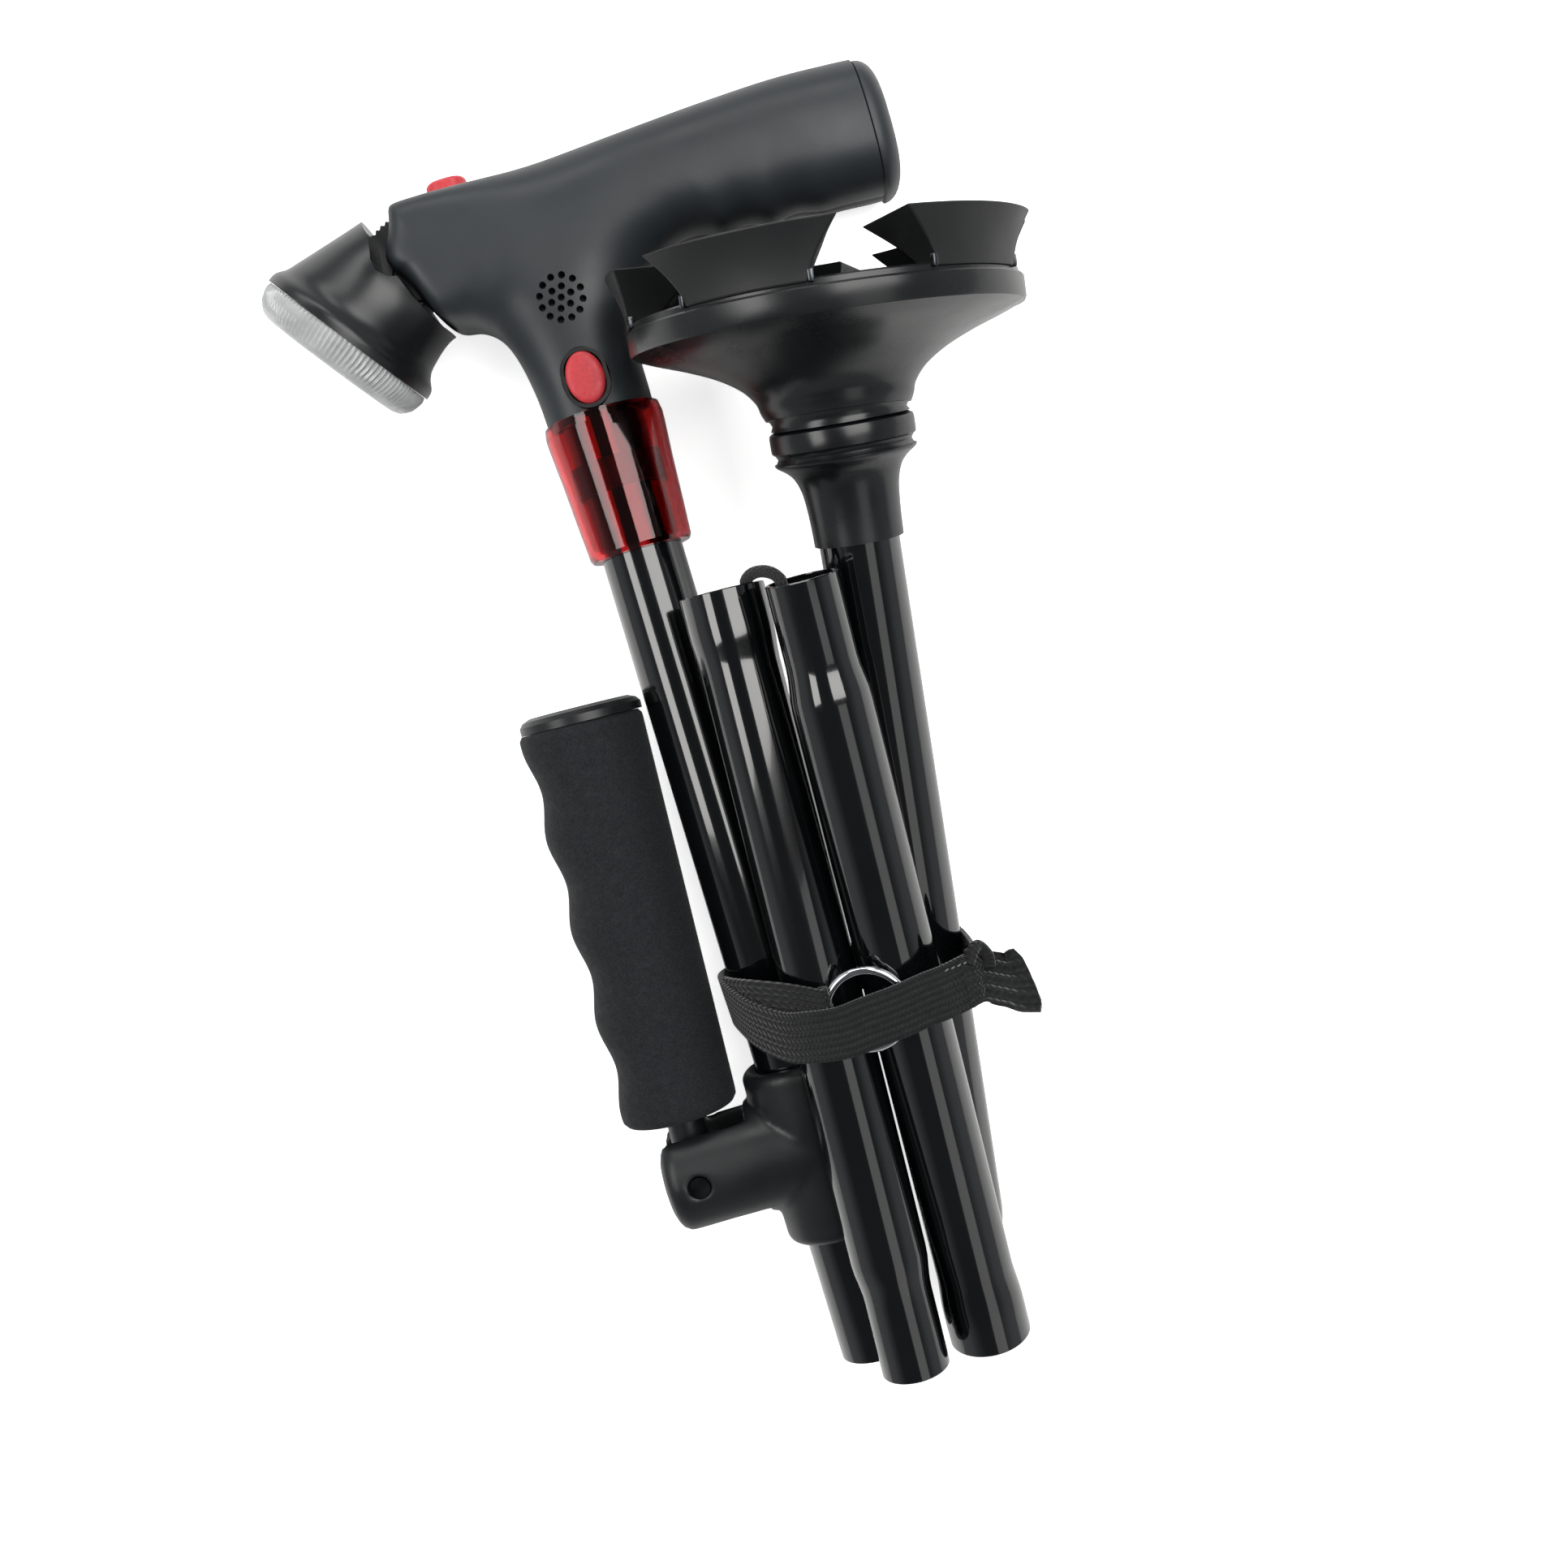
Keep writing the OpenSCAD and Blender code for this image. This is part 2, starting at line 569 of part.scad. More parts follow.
module siren_disc() {
    color("#b08d45") lay_down() translate([0, grille_up, siren_z]) cylinder(r = siren_r, h = siren_t);
}
module alarm_bezel() {
    color("#121314") lay_down() at_alarm(bezel_z) difference() {
        oval(alarm_len + 2 * bezel_out, alarm_w + 2 * bezel_out, bezel_t);
        translate([0, 0, -cut]) oval(alarm_len + 2 * run_gap, alarm_w + 2 * run_gap, bezel_t + 2 * cut);
    }
}
alarm_z = bezel_z + bezel_t + alarm_stand - alarm_body;
module alarm_button() {
    color(button_red) lay_down() at_alarm(alarm_z) oval(alarm_len, alarm_w, alarm_body);
}
switch_side = 5;
switch_h = 3;
switch_clear = 1;
module alarm_switch() {
    color("#2a2b2d") lay_down() translate([-switch_side / 2, upper_tube_len + switch_clear,
        alarm_z - button_travel - switch_h - run_gap])
            cube([switch_side, switch_side, switch_h]);
}
module light_button() {
    color(button_red) lay_down() {
        at_light(light_low) oval(light_len, light_w, light_body);
        at_light(light_low) oval(light_len + 2 * flange_out, light_w + 2 * flange_out, flange_t);
    }
}
module light_switch() {
    color("#2a2b2d") lay_down() translate([light_x - switch_side / 2,
        light_low - button_travel - switch_h - run_gap, board_z + board.z + seat_gap])
            cube([switch_side, switch_h, switch_side]);
}
bush_out = 0.65;
bush_h = 4.6;
module stem_bush() {
    color("#2d2e30") lay_down() along_y(stem_low + 4 * seat_gap)
        pipe(upper_r + seat_gap + bush_out, upper_r + seat_gap, bush_h);
}
collar_low = stem_low - seat_gap - collar_h;
// Collar outline: share of the step from the low to the top radius, share of its height
collar_shares = [[-0.3, 0], [0, 0.03], [0.25, 0.25], [0.6, 0.6], [0.95, 0.86], [1, 0.93], [0.8, 1]];
collar_out = [for (q = collar_shares) [collar_low_r + q.x * (collar_top_r - collar_low_r), q.y * collar_h]];
collar_floor = 2.4;
module flasher_collar() {
    inner = [for (k = [len(collar_out) - 1 : -1 : 2]) [collar_out[k].x - collar_wall, collar_out[k].y]];
    color("#c8181f", 0.6) lay_down() along_y(collar_low) rotate_extrude()
        polygon(concat([[upper_r + seat_gap, 0]], collar_out, inner,
            [[collar_low_r - collar_wall, collar_floor], [upper_r + seat_gap, collar_floor]]));
}
flash_out = 1.1;
flash_h = 8;
flash_share = 0.45;
module flasher_ring() {
    color("#e8e4da") lay_down() along_y(collar_low + collar_h * flash_share)
        pipe(upper_r + seat_gap + flash_out, upper_r + seat_gap, flash_h);
}

// Lamp head
lamp_dir = [-cos(lamp_droop), -sin(lamp_droop), 0];
lamp_side = [sin(lamp_droop), -cos(lamp_droop), 0];
lamp_off = 3.7;
lamp_rim = lamp_at + lamp_depth * lamp_dir - lamp_off * lamp_side;
lamp_black = "#141516";
// Lamp outline: share of the rim radius, share of the depth behind the rim
lamp_shares = [[1, 0], [0.985, -0.1], [0.9, -0.2], [0.822, -0.36], [0.74, -0.62], [0.68, -0.84], [0.6, -1]];
lamp_floor_share = [0.75, -0.56];
lamp_clear = 0.7;
arm_len = 8;
arm_half = 5;
arm_in = 0.6;
arm_deep = knuckle_half - arm_in;
seam_turn = 50;
module nose_side() {
    translate([nose_x - lamp_clear, handle_top - handle_len, -handle_len]) cube(2 * handle_len);
}
module about_lamp(a) {
    translate(lamp_at) rotate([0, 0, a]) translate(-lamp_at) children();
}
module lamp_shell() {
    out = scaled(lamp_shares, lamp_rim_r, lamp_depth);
    inner = [for (k = [3 : -1 : 0]) [out[k].x - lamp_wall, out[k].y]];
    floor = [lamp_floor_share.x * lamp_rim_r - lamp_wall, lamp_floor_share.y * lamp_depth];
    color(lamp_black) lay_down() difference() {
        union() {
            difference() {
                place(lamp_rim, lamp_dir) rotate([0, 0, seam_turn]) rotate_extrude()
                    polygon(concat(out, [[0, -lamp_depth], [0, floor.y], floor], inner));
                nose_side();
                about_lamp(lamp_tilt_range) nose_side();
            }
            translate(lamp_at - [0, 0, knuckle_half]) cylinder(r = knuckle_r, h = 2 * knuckle_half);
            translate(lamp_at) rotate([0, 0, lamp_droop]) translate([-arm_len, -arm_half, -arm_deep])
                cube([arm_len, 2 * arm_half, 2 * arm_deep]);
        }
        translate(lamp_at - [0, 0, handle_half]) cylinder(r = lamp_pin_r + pin_gap, h = 2 * handle_half);
    }
}
module lamp_pivot_pin() {
    color(steel) lay_down() translate(lamp_at - [0, 0, lamp_pin_half])
        cylinder(r = lamp_pin_r, h = 2 * lamp_pin_half);
}
reflect_shares = [[0.9, -0.05], [0.66, -0.2], [0.44, -0.36], [0.24, -0.45]];
reflect_t = 0.8;
module lamp_reflector() {
    out = scaled(reflect_shares, lamp_rim_r, lamp_depth);
    inner = [for (k = [len(out) - 1 : -1 : 0]) [out[k].x - reflect_t, out[k].y]];
    color("#d9dbde") lay_down() place(lamp_rim, lamp_dir) rotate_extrude() polygon(concat(out, inner));
}
diode_r = 2.2;
diode_h = 2.2;
lamp_board_r = 6.5;
lamp_board_t = 1.4;
lamp_board_share = 0.46;
module lamp_board() {
    depth = lamp_board_share * lamp_depth + lamp_board_t;
    color("#e6e2c8") lay_down() place(lamp_rim - depth * lamp_dir, lamp_dir) {
        cylinder(r = lamp_board_r, h = lamp_board_t - seat_gap);
        cylinder(r = diode_r, h = lamp_board_t + diode_h);
    }
}
// Lens outline: share of the rim radius, share of the lens height
lens_shares = [[0, 1], [0.8, 1], [0.91, 0.78], [0.965, 0.2], [0.965, 0.02], [0.87, 0.02], [0.86, 0.25],
    [0.78, 0.6], [0, 0.66]];
module lamp_lens() {
    color("#e9edf0", 0.5) lay_down() place(lamp_rim, lamp_dir) rotate_extrude()
        polygon(scaled(lens_shares, lamp_rim_r, lens_h));
}

// Second handle
bracket_black = "#1d1e20";
pivot = [-pivot_out, pivot_up, 0];
grip_pin_r = 2.75;
cheek_in = 8.3;
cheek_from = 17;
core_half = cheek_in - run_gap;
core_knuckle_r = 8;
core_r = 5;
grip_off = 1.2;
sleeve_share = 0.52;
sleeve_low = pivot_up - sleeve_h * sleeve_share;
sleeve_bevel = 1.5;
stub_past = 9.8;
stub_len = pivot_out + stub_past;
stub_shares = [[1, 0], [1, 0.9], [0.93, 0.955], [0.74, 0.988], [0, 1]];
tube_room = 0.6;
bracket_screw_r = 1.6;
bracket_head_r = 2.8;
bracket_head_in = 1.4;
screw_ups = [0.17, 0.85];
module at_bracket_screws() {
    for (q = screw_ups) translate([0, sleeve_low + q * sleeve_h, 0]) rotate([180, 0, 0]) children();
}
module grip_bracket() {
    color(bracket_black) lay_down() difference() {
        union() {
            along_y(sleeve_low) rotate_extrude() polygon([[0, 0], [bracket_r - sleeve_bevel, 0],
                [bracket_r, sleeve_bevel], [bracket_r, sleeve_h - sleeve_bevel],
                [bracket_r - sleeve_bevel, sleeve_h], [0, sleeve_h]]);
            translate([0, pivot_up, 0]) rotate([0, -90, 0]) rotate_extrude()
                polygon(concat([[0, 0]], scaled(stub_shares, bracket_r, stub_len)));
        }
        along_y(0) cylinder(r = upper_r + seat_gap, h = upper_tube_len);
        place(low_2, dir_2) cylinder(r = tube_r + tube_room, h = section_len);
        translate([-cheek_from - stub_len, pivot_up - bracket_r - cut, -cheek_in])
            cube([stub_len, 2 * (bracket_r + cut), 2 * cheek_in]);
        translate(pivot - [0, 0, bracket_r]) cylinder(r = grip_pin_r + pin_gap, h = 2 * bracket_r);
        at_bracket_screws() cylinder(r = bracket_screw_r + seat_gap, h = 2 * bracket_r);
        at_bracket_screws() translate([0, 0, bracket_r - bracket_head_in])
            cylinder(r = bracket_head_r + seat_gap, h = bracket_r);
    }
}
module bracket_screws() {
    color(steel) lay_down() at_bracket_screws() {
        translate([0, 0, upper_r + 2 * seat_gap])
            cylinder(r = bracket_screw_r, h = bracket_r - upper_r - bracket_head_in);
        translate([0, 0, bracket_r - bracket_head_in + seat_gap])
            cylinder(r = bracket_head_r, h = bracket_head_in - 2 * seat_gap);
    }
}
module grip_pivot_pin() {
    color(steel) lay_down() translate(pivot - [0, 0, bracket_r - 2 * seat_gap])
        cylinder(r = grip_pin_r, h = 2 * (bracket_r - 2 * seat_gap));
}
// Second handle's own frame: Z along the grip from the pivot, X towards the tube
module on_grip() {
    translate(pivot) rotate([0, 0, -grip_lean]) rotate([-90, 0, 0]) children();
}
foam_from = 17.5;
foam_top_grow = 1;
cap_t = 4;
core_in = 2;
foam_steps = 40;
module grip_core() {
    color("#232426") lay_down() difference() {
        on_grip() union() {
            rotate([90, 0, 0]) translate([0, 0, -core_half]) cylinder(r = core_knuckle_r, h = 2 * core_half);
            translate([-grip_off, 0, 0]) cylinder(r = core_r, h = foam_from + foam_len + core_in);
        }
        translate(pivot - [0, 0, bracket_r]) cylinder(r = grip_pin_r + pin_gap, h = 2 * bracket_r);
    }
}
function foam_at(t) = foam_r + foam_top_grow * t - finger_depth / 2 * (1 - cos(360 * finger_count * t)) / 2;
module foam_grip() {
    wave = [for (k = [0 : foam_steps]) [foam_at(k / foam_steps), foam_len * k / foam_steps]];
    color("#1c1d1e") lay_down() on_grip() translate([-grip_off, 0, foam_from]) rotate_extrude()
        polygon(concat(wave, [[core_r + seat_gap, foam_len], [core_r + seat_gap, 0]]));
}
// End cap outline: share of its radius, share of its thickness
end_shares = [[1, 0], [1, 0.5], [0.938, 0.8], [0.815, 1], [0, 1]];
module grip_end_cap() {
    out = scaled(end_shares, foam_r + foam_top_grow, cap_t);
    color("#1a1b1c") lay_down() on_grip() translate([-grip_off, 0, foam_from + foam_len + seat_gap])
        rotate_extrude() polygon(concat([[core_r + seat_gap, 0]], out,
            [[0, core_in + seat_gap], [core_r + seat_gap, core_in + seat_gap]]));
}

// Base, in the last tube's own frame
base_black = "#18191a";
boot_past = 3;
boot_top = last_tube_len + boot_past;
boot_low = boot_top - boot_h;
cone_top = boot_top + flex_h;
rim_top = cone_top + cone_h;
rim_low = rim_top + rim_h;
sole_at = rim_low + foot_h;
ball_down = 5;
ball_at = cone_top + ball_down;
stud_r = 3.8;
stud_plug = 10;
boot_t = 1;
// Boot outline: share of the step from the tube's size to the neck's, share of the boot's height
boot_shares = [[0, 0], [0.03, 0.3], [0.12, 0.6], [0.3, 0.78], [0.55, 0.88], [0.9, 0.96], [0.96, 1]];
boot_r = tube_r + seat_gap + boot_t;
module in_base() {
    place(low_4, dir_4) children();
}
module on_ball() {
    in_base() translate([0, 0, ball_at]) rotate([-base_lean, 0, 0]) translate([0, 0, -ball_at]) children();
}
module base_boot() {
    out = [for (q = boot_shares) [boot_r + q.x * (neck_r - boot_r), boot_low + q.y * boot_h]];
    color(base_black) lay_down() in_base() rotate_extrude() polygon(concat(
        [[tube_r + seat_gap, boot_low]], out, [[stud_r + seat_gap, boot_top],
            [stud_r + seat_gap, last_tube_len + seat_gap], [tube_r + seat_gap, last_tube_len + seat_gap]]));
}
module ball_stud() {
    plug_at = last_tube_len - stud_plug;
    color(steel) lay_down() in_base() {
        translate([0, 0, plug_at]) cylinder(r = bore_r - seat_gap, h = stud_plug);
        translate([0, 0, plug_at]) cylinder(r = stud_r, h = ball_at - plug_at);
        translate([0, 0, ball_at]) sphere(r = ball_r);
    }
}
ring_share = 0.22;
ring_in = 4.4;
flex_t = 3.2;
module neck_ring() {
    color(base_black) lay_down() in_base() translate([0, 0, boot_top + ring_share * flex_h])
        pipe(neck_r, neck_r - ring_in, flex_h * (1 - 2 * ring_share));
}
module flex_neck() {
    r = neck_r - ring_in - 2 * seat_gap;
    color("#101112") lay_down() in_base() translate([0, 0, boot_top + seat_gap])
        pipe(r, r - flex_t, flex_h - 2 * seat_gap);
}
// Cone outline: share of the step from the neck's size to the rim's, share of the cone's height
cone_shares = [[0, 0], [0.03, 0.1], [0.06, 0.24], [0.16, 0.42], [0.34, 0.6], [0.58, 0.76], [0.84, 0.9],
    [1, 1]];
hub_r = 10.5;
hub_top = 1;
hub_past = 2;
web_t = 3;
post_r = 3.2;
post_at = 31;
post_share = 0.8;
base_screw_r = 1.5;
base_head_r = 3;
base_head_h = 1.4;
plate_t = 3;
plate_in = 0.4;
plate_at = rim_low - plate_t - plate_in;
base_tip = 3.6;
module at_posts() {
    for (k = [0 : feet - 1]) rotate([0, 0, (k + 1 / 2) * foot_step + foot_turn]) translate([post_at, 0, 0])
        children();
}
module base_cone() {
    out = [for (q = cone_shares) [neck_r + q.x * (rim_r - neck_r), cone_top + q.y * cone_h]];
    inner = [for (k = [len(out) - 1 : -1 : 0]) [out[k].x - cone_wall, out[k].y + cone_wall]];
    post_top = cone_top + cone_h * post_share;
    color(base_black) lay_down() on_ball() difference() {
        union() {
            rotate_extrude() polygon(concat(out, [[rim_r, rim_low], [rim_r - cone_wall, rim_low]], inner));
            translate([0, 0, cone_top + hub_top])
                cylinder(r = hub_r, h = ball_at + ball_r - cone_top + hub_past);
            translate([0, 0, cone_top + hub_top]) cylinder(r = neck_r - cone_wall / 2, h = web_t);
            at_posts() translate([0, 0, post_top]) cylinder(r = post_r, h = plate_at - post_top - seat_gap);
        }
        translate([0, 0, ball_at]) sphere(r = ball_r + pin_gap);
        at_posts() translate([0, 0, post_top + cone_wall]) cylinder(r = base_screw_r + seat_gap, h = cone_h);
    }
}
module sole_plate() {
    color("#232425") lay_down() on_ball() difference() {
        translate([0, 0, plate_at]) cylinder(r = rim_r - cone_wall - seat_gap, h = plate_t);
        at_posts() translate([0, 0, plate_at - cut]) cylinder(r = base_screw_r + seat_gap, h = 2 * plate_t);
    }
}
module base_screws() {
    color(steel) lay_down() on_ball() at_posts() {
        translate([0, 0, plate_at - base_tip])
            cylinder(r = base_screw_r, h = plate_t + base_tip + 2 * seat_gap);
        translate([0, 0, plate_at + plate_t + seat_gap]) cylinder(r = base_head_r, h = base_head_h);
    }
}
feet = 5;
foot_step = 360 / feet;
foot_turn = 30;
foot_half = 32;
foot_slant = 41;
foot_spare = 4;
// Foot section: share of the sole radius, share of the foot's height below the rim
foot_shares = [[0.8, 0.01], [0.93, 0.01], [0.95, 0.25], [1, 0.88], [0.992, 1], [0.52, 1], [0.54, 0.75],
    [0.74, 0.25]];
module foot(k) {
    profile = [for (q = foot_shares) [q.x * sole_r, rim_low + q.y * foot_h]];
    edge = rim_r * sin(foot_half);
    rotate([0, 0, foot_step * k + foot_turn]) difference() {
        rotate([0, 0, -foot_half - foot_spare])
            rotate_extrude(angle = 2 * (foot_half + foot_spare)) polygon(profile);
        for (side = [0, 1]) mirror([0, side, 0]) translate([0, edge, sole_at]) rotate([-foot_slant, 0, 0])
            translate([0, 0, -sole_r]) cube([2 * sole_r, sole_r, 2 * sole_r]);
    }
}
foot_black = "#1e1f20";
module foot_1() {
    color(foot_black) lay_down() on_ball() foot(0);
}
module foot_2() {
    color(foot_black) lay_down() on_ball() foot(1);
}
module foot_3() {
    color(foot_black) lay_down() on_ball() foot(2);
}
module foot_4() {
    color(foot_black) lay_down() on_ball() foot(3);
}
module foot_5() {
    color(foot_black) lay_down() on_ball() foot(4);
}
clip = [2.6, 3.4, 1];
clip_turn = 24;
module foot_clips() {
    color("#c9ccd0") lay_down() on_ball() for (k = [0 : feet - 1]) for (side = [-1, 1])
        rotate([0, 0, foot_step * k + foot_turn + side * clip_turn])
            translate([rim_r - clip.x - seat_gap, -clip.y / 2, rim_low + seat_gap]) cube(clip);
}

// Woven band round the bundle
band_black = "#161617";
band_room = 0.35;
function at_height(low, dir, y) = low + dir * ((y - low.y) / dir.y);
module bundle(grow) {
    from = band_up - band_w;
    hull() {
        along_y(from) cylinder(r = upper_r + grow, h = 2 * band_w);
        place(at_height(low_2, dir_2, from), dir_2) cylinder(r = tube_r + grow, h = 2 * band_w);
        place(at_height(low_3, dir_3, from), dir_3) cylinder(r = tube_r + grow, h = 2 * band_w);
        place(at_height(low_4, dir_4, from), dir_4) cylinder(r = tube_r + grow, h = 2 * band_w);
    }
}
module strap_band() {
    color(band_black) lay_down() intersection() {
        difference() {
            bundle(band_room + band_t);
            bundle(band_room);
        }
        translate([-handle_len, band_up - band_w / 2, -handle_len])
            cube([2 * handle_len, band_w, 2 * handle_len]);
    }
}
band_2 = at_height(low_2, dir_2, band_up);
band_3 = at_height(low_3, dir_3, band_up);
band_4 = at_height(low_4, dir_4, band_up);
band_out = tube_r + band_room + band_t;
front_turn = atan2(band_3.z - band_2.z, band_3.x - band_2.x);
right_turn = atan2(band_4.z - band_3.z, band_4.x - band_3.x);
front_lean = atan((dir_2.z + dir_3.z) / (dir_2.y + dir_3.y));
ring_along = 0.42;
ring_drop = 3;
ring_lift = 1.6;
tab_lift = 1.6;
keeper_len = 12;
keeper_w = 9;
tab_len = 15;
tab_drop = 5;
// Frame on the band's front: X towards the third tube, Y up, Z out of the band
module on_front() {
    translate(band_2 + ring_along * (band_3 - band_2)) rotate([0, -front_turn, 0]) rotate([front_lean, 0, 0])
        translate([0, 0, band_out]) children();
}
module strap_ring() {
    color("#d5d8dc") lay_down() on_front() translate([0, -ring_drop, ring_lift + ring_wire / 2])
        rotate_extrude() translate([ring_r - ring_wire / 2, 0]) circle(r = ring_wire / 2);
}
module ring_keeper() {
    color(band_black) lay_down() on_front()
        translate([-ring_r - run_gap - keeper_len, -keeper_w / 2, ring_lift])
            cube([keeper_len, keeper_w, band_t]);
}
module strap_tab() {
    color(band_black) lay_down() translate((band_3 + band_4) / 2) rotate([0, -right_turn, 0])
        translate([0, -band_w / 2 - tab_drop, band_out + tab_lift]) cube([band_t, band_w, tab_len]);
}

handle_front_shell();
handle_back_shell();
handle_screws();
battery_cap();
battery_cells();
battery_contacts();
circuit_board();
siren_disc();
alarm_bezel();
alarm_switch();
light_switch();
stem_bush();
flasher_collar();
flasher_ring();
lamp_pivot_pin();
tube_1();
cord_anchor_top();
cord_1();
grip_bracket();
bracket_screws();
grip_pivot_pin();
strap_band();
strap_tab();
ring_keeper();
strap_ring();
light_button();
alarm_button();
lamp_shell();
lamp_reflector();
lamp_board();
lamp_lens();
grip_core();
foam_grip();
grip_end_cap();
cord_bend_12();
tube_2();
cord_2();
cord_bend_23();
tube_3();
cord_3();
cord_bend_34();
tube_4();
cord_4();
cord_anchor_low();
base_boot();
ball_stud();
flex_neck();
neck_ring();
base_cone();
sole_plate();
foot_1();
foot_2();
foot_3();
foot_4();
foot_5();
foot_clips();
base_screws();
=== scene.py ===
import json
import math

import bpy
import numpy as np
from bpy.props import FloatProperty, FloatVectorProperty, IntProperty, PointerProperty
from mathutils import Matrix, Vector


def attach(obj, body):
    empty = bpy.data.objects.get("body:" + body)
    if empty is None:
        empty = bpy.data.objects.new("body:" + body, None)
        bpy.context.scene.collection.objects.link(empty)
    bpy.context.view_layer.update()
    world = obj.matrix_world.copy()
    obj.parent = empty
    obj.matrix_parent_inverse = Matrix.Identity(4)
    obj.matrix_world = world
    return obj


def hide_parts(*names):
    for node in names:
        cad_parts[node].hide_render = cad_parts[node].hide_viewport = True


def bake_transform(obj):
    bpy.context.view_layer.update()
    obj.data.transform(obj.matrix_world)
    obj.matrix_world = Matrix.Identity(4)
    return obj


bl_info = {
    "name": "Folding cane",
    "version": (1, 0, 0),
    "blender": (4, 5, 0),
    "location": "View3D > Sidebar > Cane",
    "description": "Looks of a folding cane with a lamp, an alarm and a second handle",
    "category": "Object",
}

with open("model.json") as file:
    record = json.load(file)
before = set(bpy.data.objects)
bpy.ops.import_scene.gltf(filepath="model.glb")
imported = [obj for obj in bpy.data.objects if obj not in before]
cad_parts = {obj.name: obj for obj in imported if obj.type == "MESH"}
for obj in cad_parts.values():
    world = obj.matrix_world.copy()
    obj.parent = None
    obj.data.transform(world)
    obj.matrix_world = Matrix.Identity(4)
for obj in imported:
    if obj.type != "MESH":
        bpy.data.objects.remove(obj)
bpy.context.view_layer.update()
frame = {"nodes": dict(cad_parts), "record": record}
NODES = frame["nodes"]
MM = 0.001
ROUND = 2 * math.pi

# Bodies that the pieces ride on
TOP = "handle_and_upper_tube"
DOOR = "battery_door"
LAMP = "lamp_head"
GRIP = "second_grip"
BASE = "base"


def cos_sin(degrees):
    a = math.radians(degrees)
    return math.cos(a), math.sin(a)


def about(axis, degrees):
    """Matrix that turns about an axis."""
    return Matrix.Rotation(math.radians(degrees), 4, axis)


def shifted(x, y, z):
    """Matrix that moves by a step."""
    return Matrix.Translation((x, y, z))


# How the folded cane lies: the working frame has the first tube along Y and the handle's sides facing Z
LIE = shifted(-20.36, -155.14, 24.54) @ about("Y", 3.09) @ about("X", -0.78)
WORKING = Matrix.Identity(4)

# Layout in the working frame, in millimetres
HANDLE_TOP, STEM_LOW, SHELL_END, NOSE_X = 320.0, 256.109, 85.8, -36.58
HANDLE_LEN, GRIP_H, HANDLE_HALF, STEM_R = 124.0, 31.0, 16.5, 14.0
LAMP_TILT, CUP_DEEP, CUP_DROP = 36.5, 25.0, 6.6
LAMP_COS, LAMP_SIN = cos_sin(LAMP_TILT)
LAMP_AT = Vector((-32.98, 303.0, 0.0))
LAMP_DIR = Vector((-LAMP_COS, -LAMP_SIN, 0.0))
LAMP_SIDE = Vector((LAMP_SIN, -LAMP_COS, 0.0))
LAMP_RIM = LAMP_AT + CUP_DEEP * LAMP_DIR - CUP_DROP * LAMP_SIDE
ALARM_UP, GRILLE_UP, LIGHT_X = 263.92, 284.41, -21.2
PIVOT = Vector((-32.0, 58.5, 0.0))
FIRST_R, TUBE_R, TUBE_LEN, LAST_LEN = 10.65, 9.9, 203.0, 232.0
LOW_1, DIR_1 = Vector((0, 0, 0)), Vector((0, 1, 0))
BALL_UP = 250
FEET, FOOT_TURN = 5, 30


def fan(start, gap, angle, wide=2 * TUBE_R):
    """Next tube's place across the bundle."""
    c, s = cos_sin(angle)
    return start[0] + (wide + gap) * c, start[1] + (wide + gap) * s


def tube_line(foot, head):
    """Foot and direction of a tube from its places at the bundle's foot and head."""
    way = Vector((head[0] - foot[0], TUBE_LEN, head[1] - foot[1])).normalized()
    return Vector((foot[0], 0, foot[1])), way


FOOT_2 = fan((0, 0), 1.2, 67, FIRST_R + TUBE_R)
FOOT_3 = fan(FOOT_2, 3.2, -26)
FOOT_4 = fan(FOOT_3, 3.8, -90)
HEAD_2 = fan((0, 0), 10.4, 55, FIRST_R + TUBE_R)
HEAD_3 = fan(HEAD_2, 5.4, 39.5)
HEAD_4 = fan(HEAD_3, 3.4, -46)
LOW_2, DIR_2 = tube_line(FOOT_2, HEAD_2)
TOP_2 = LOW_2 + TUBE_LEN * DIR_2
DIR_3 = tube_line(FOOT_3, HEAD_3)[1]
TOP_3 = Vector((HEAD_3[0], TUBE_LEN, HEAD_3[1])) - 3.8 * DIR_3
LOW_3 = TOP_3 - TUBE_LEN * DIR_3
LOW_4, DIR_4 = tube_line(FOOT_4, HEAD_4)
LOW_4 = LOW_4 - 4 * DIR_4


def at_place(at, way):
    """Matrix, in millimetres, that stands local Z on a line of the working frame."""
    return (Matrix.Translation(at) @ Matrix.Rotation(-math.atan2(way.x, way.y), 4, "Z")
            @ Matrix.Rotation(math.asin(way.z), 4, "X") @ about("X", -90))


IN_BASE = at_place(LOW_4, DIR_4)
ON_BALL = IN_BASE @ shifted(0, 0, BALL_UP) @ about("X", -4) @ about("Y", 1.4) @ shifted(0, 0, -BALL_UP)
ON_GRIP = Matrix.Translation(PIVOT) @ about("Z", -2.4) @ about("X", -90)
AT_LAMP = at_place(LAMP_RIM, LAMP_DIR)


def lay(point):
    """A point of the working frame, in millimetres, to the lying cane, in metres."""
    return (LIE @ Vector(point)) * MM


def in_metres(place):
    """A place in millimetres, for a mesh in metres."""
    return Matrix.Scale(MM, 4) @ place @ Matrix.Scale(1 / MM, 4)


# Modelling helpers


def start_clean():
    """Object mode with nothing selected."""
    if bpy.context.mode != "OBJECT":
        bpy.ops.object.mode_set(mode="OBJECT")
    bpy.ops.object.select_all(action="DESELECT")


def pick(*pieces):
    """Select pieces, the first one active."""
    start_clean()
    for piece in pieces:
        piece.select_set(True)
    bpy.context.view_layer.objects.active = pieces[0]


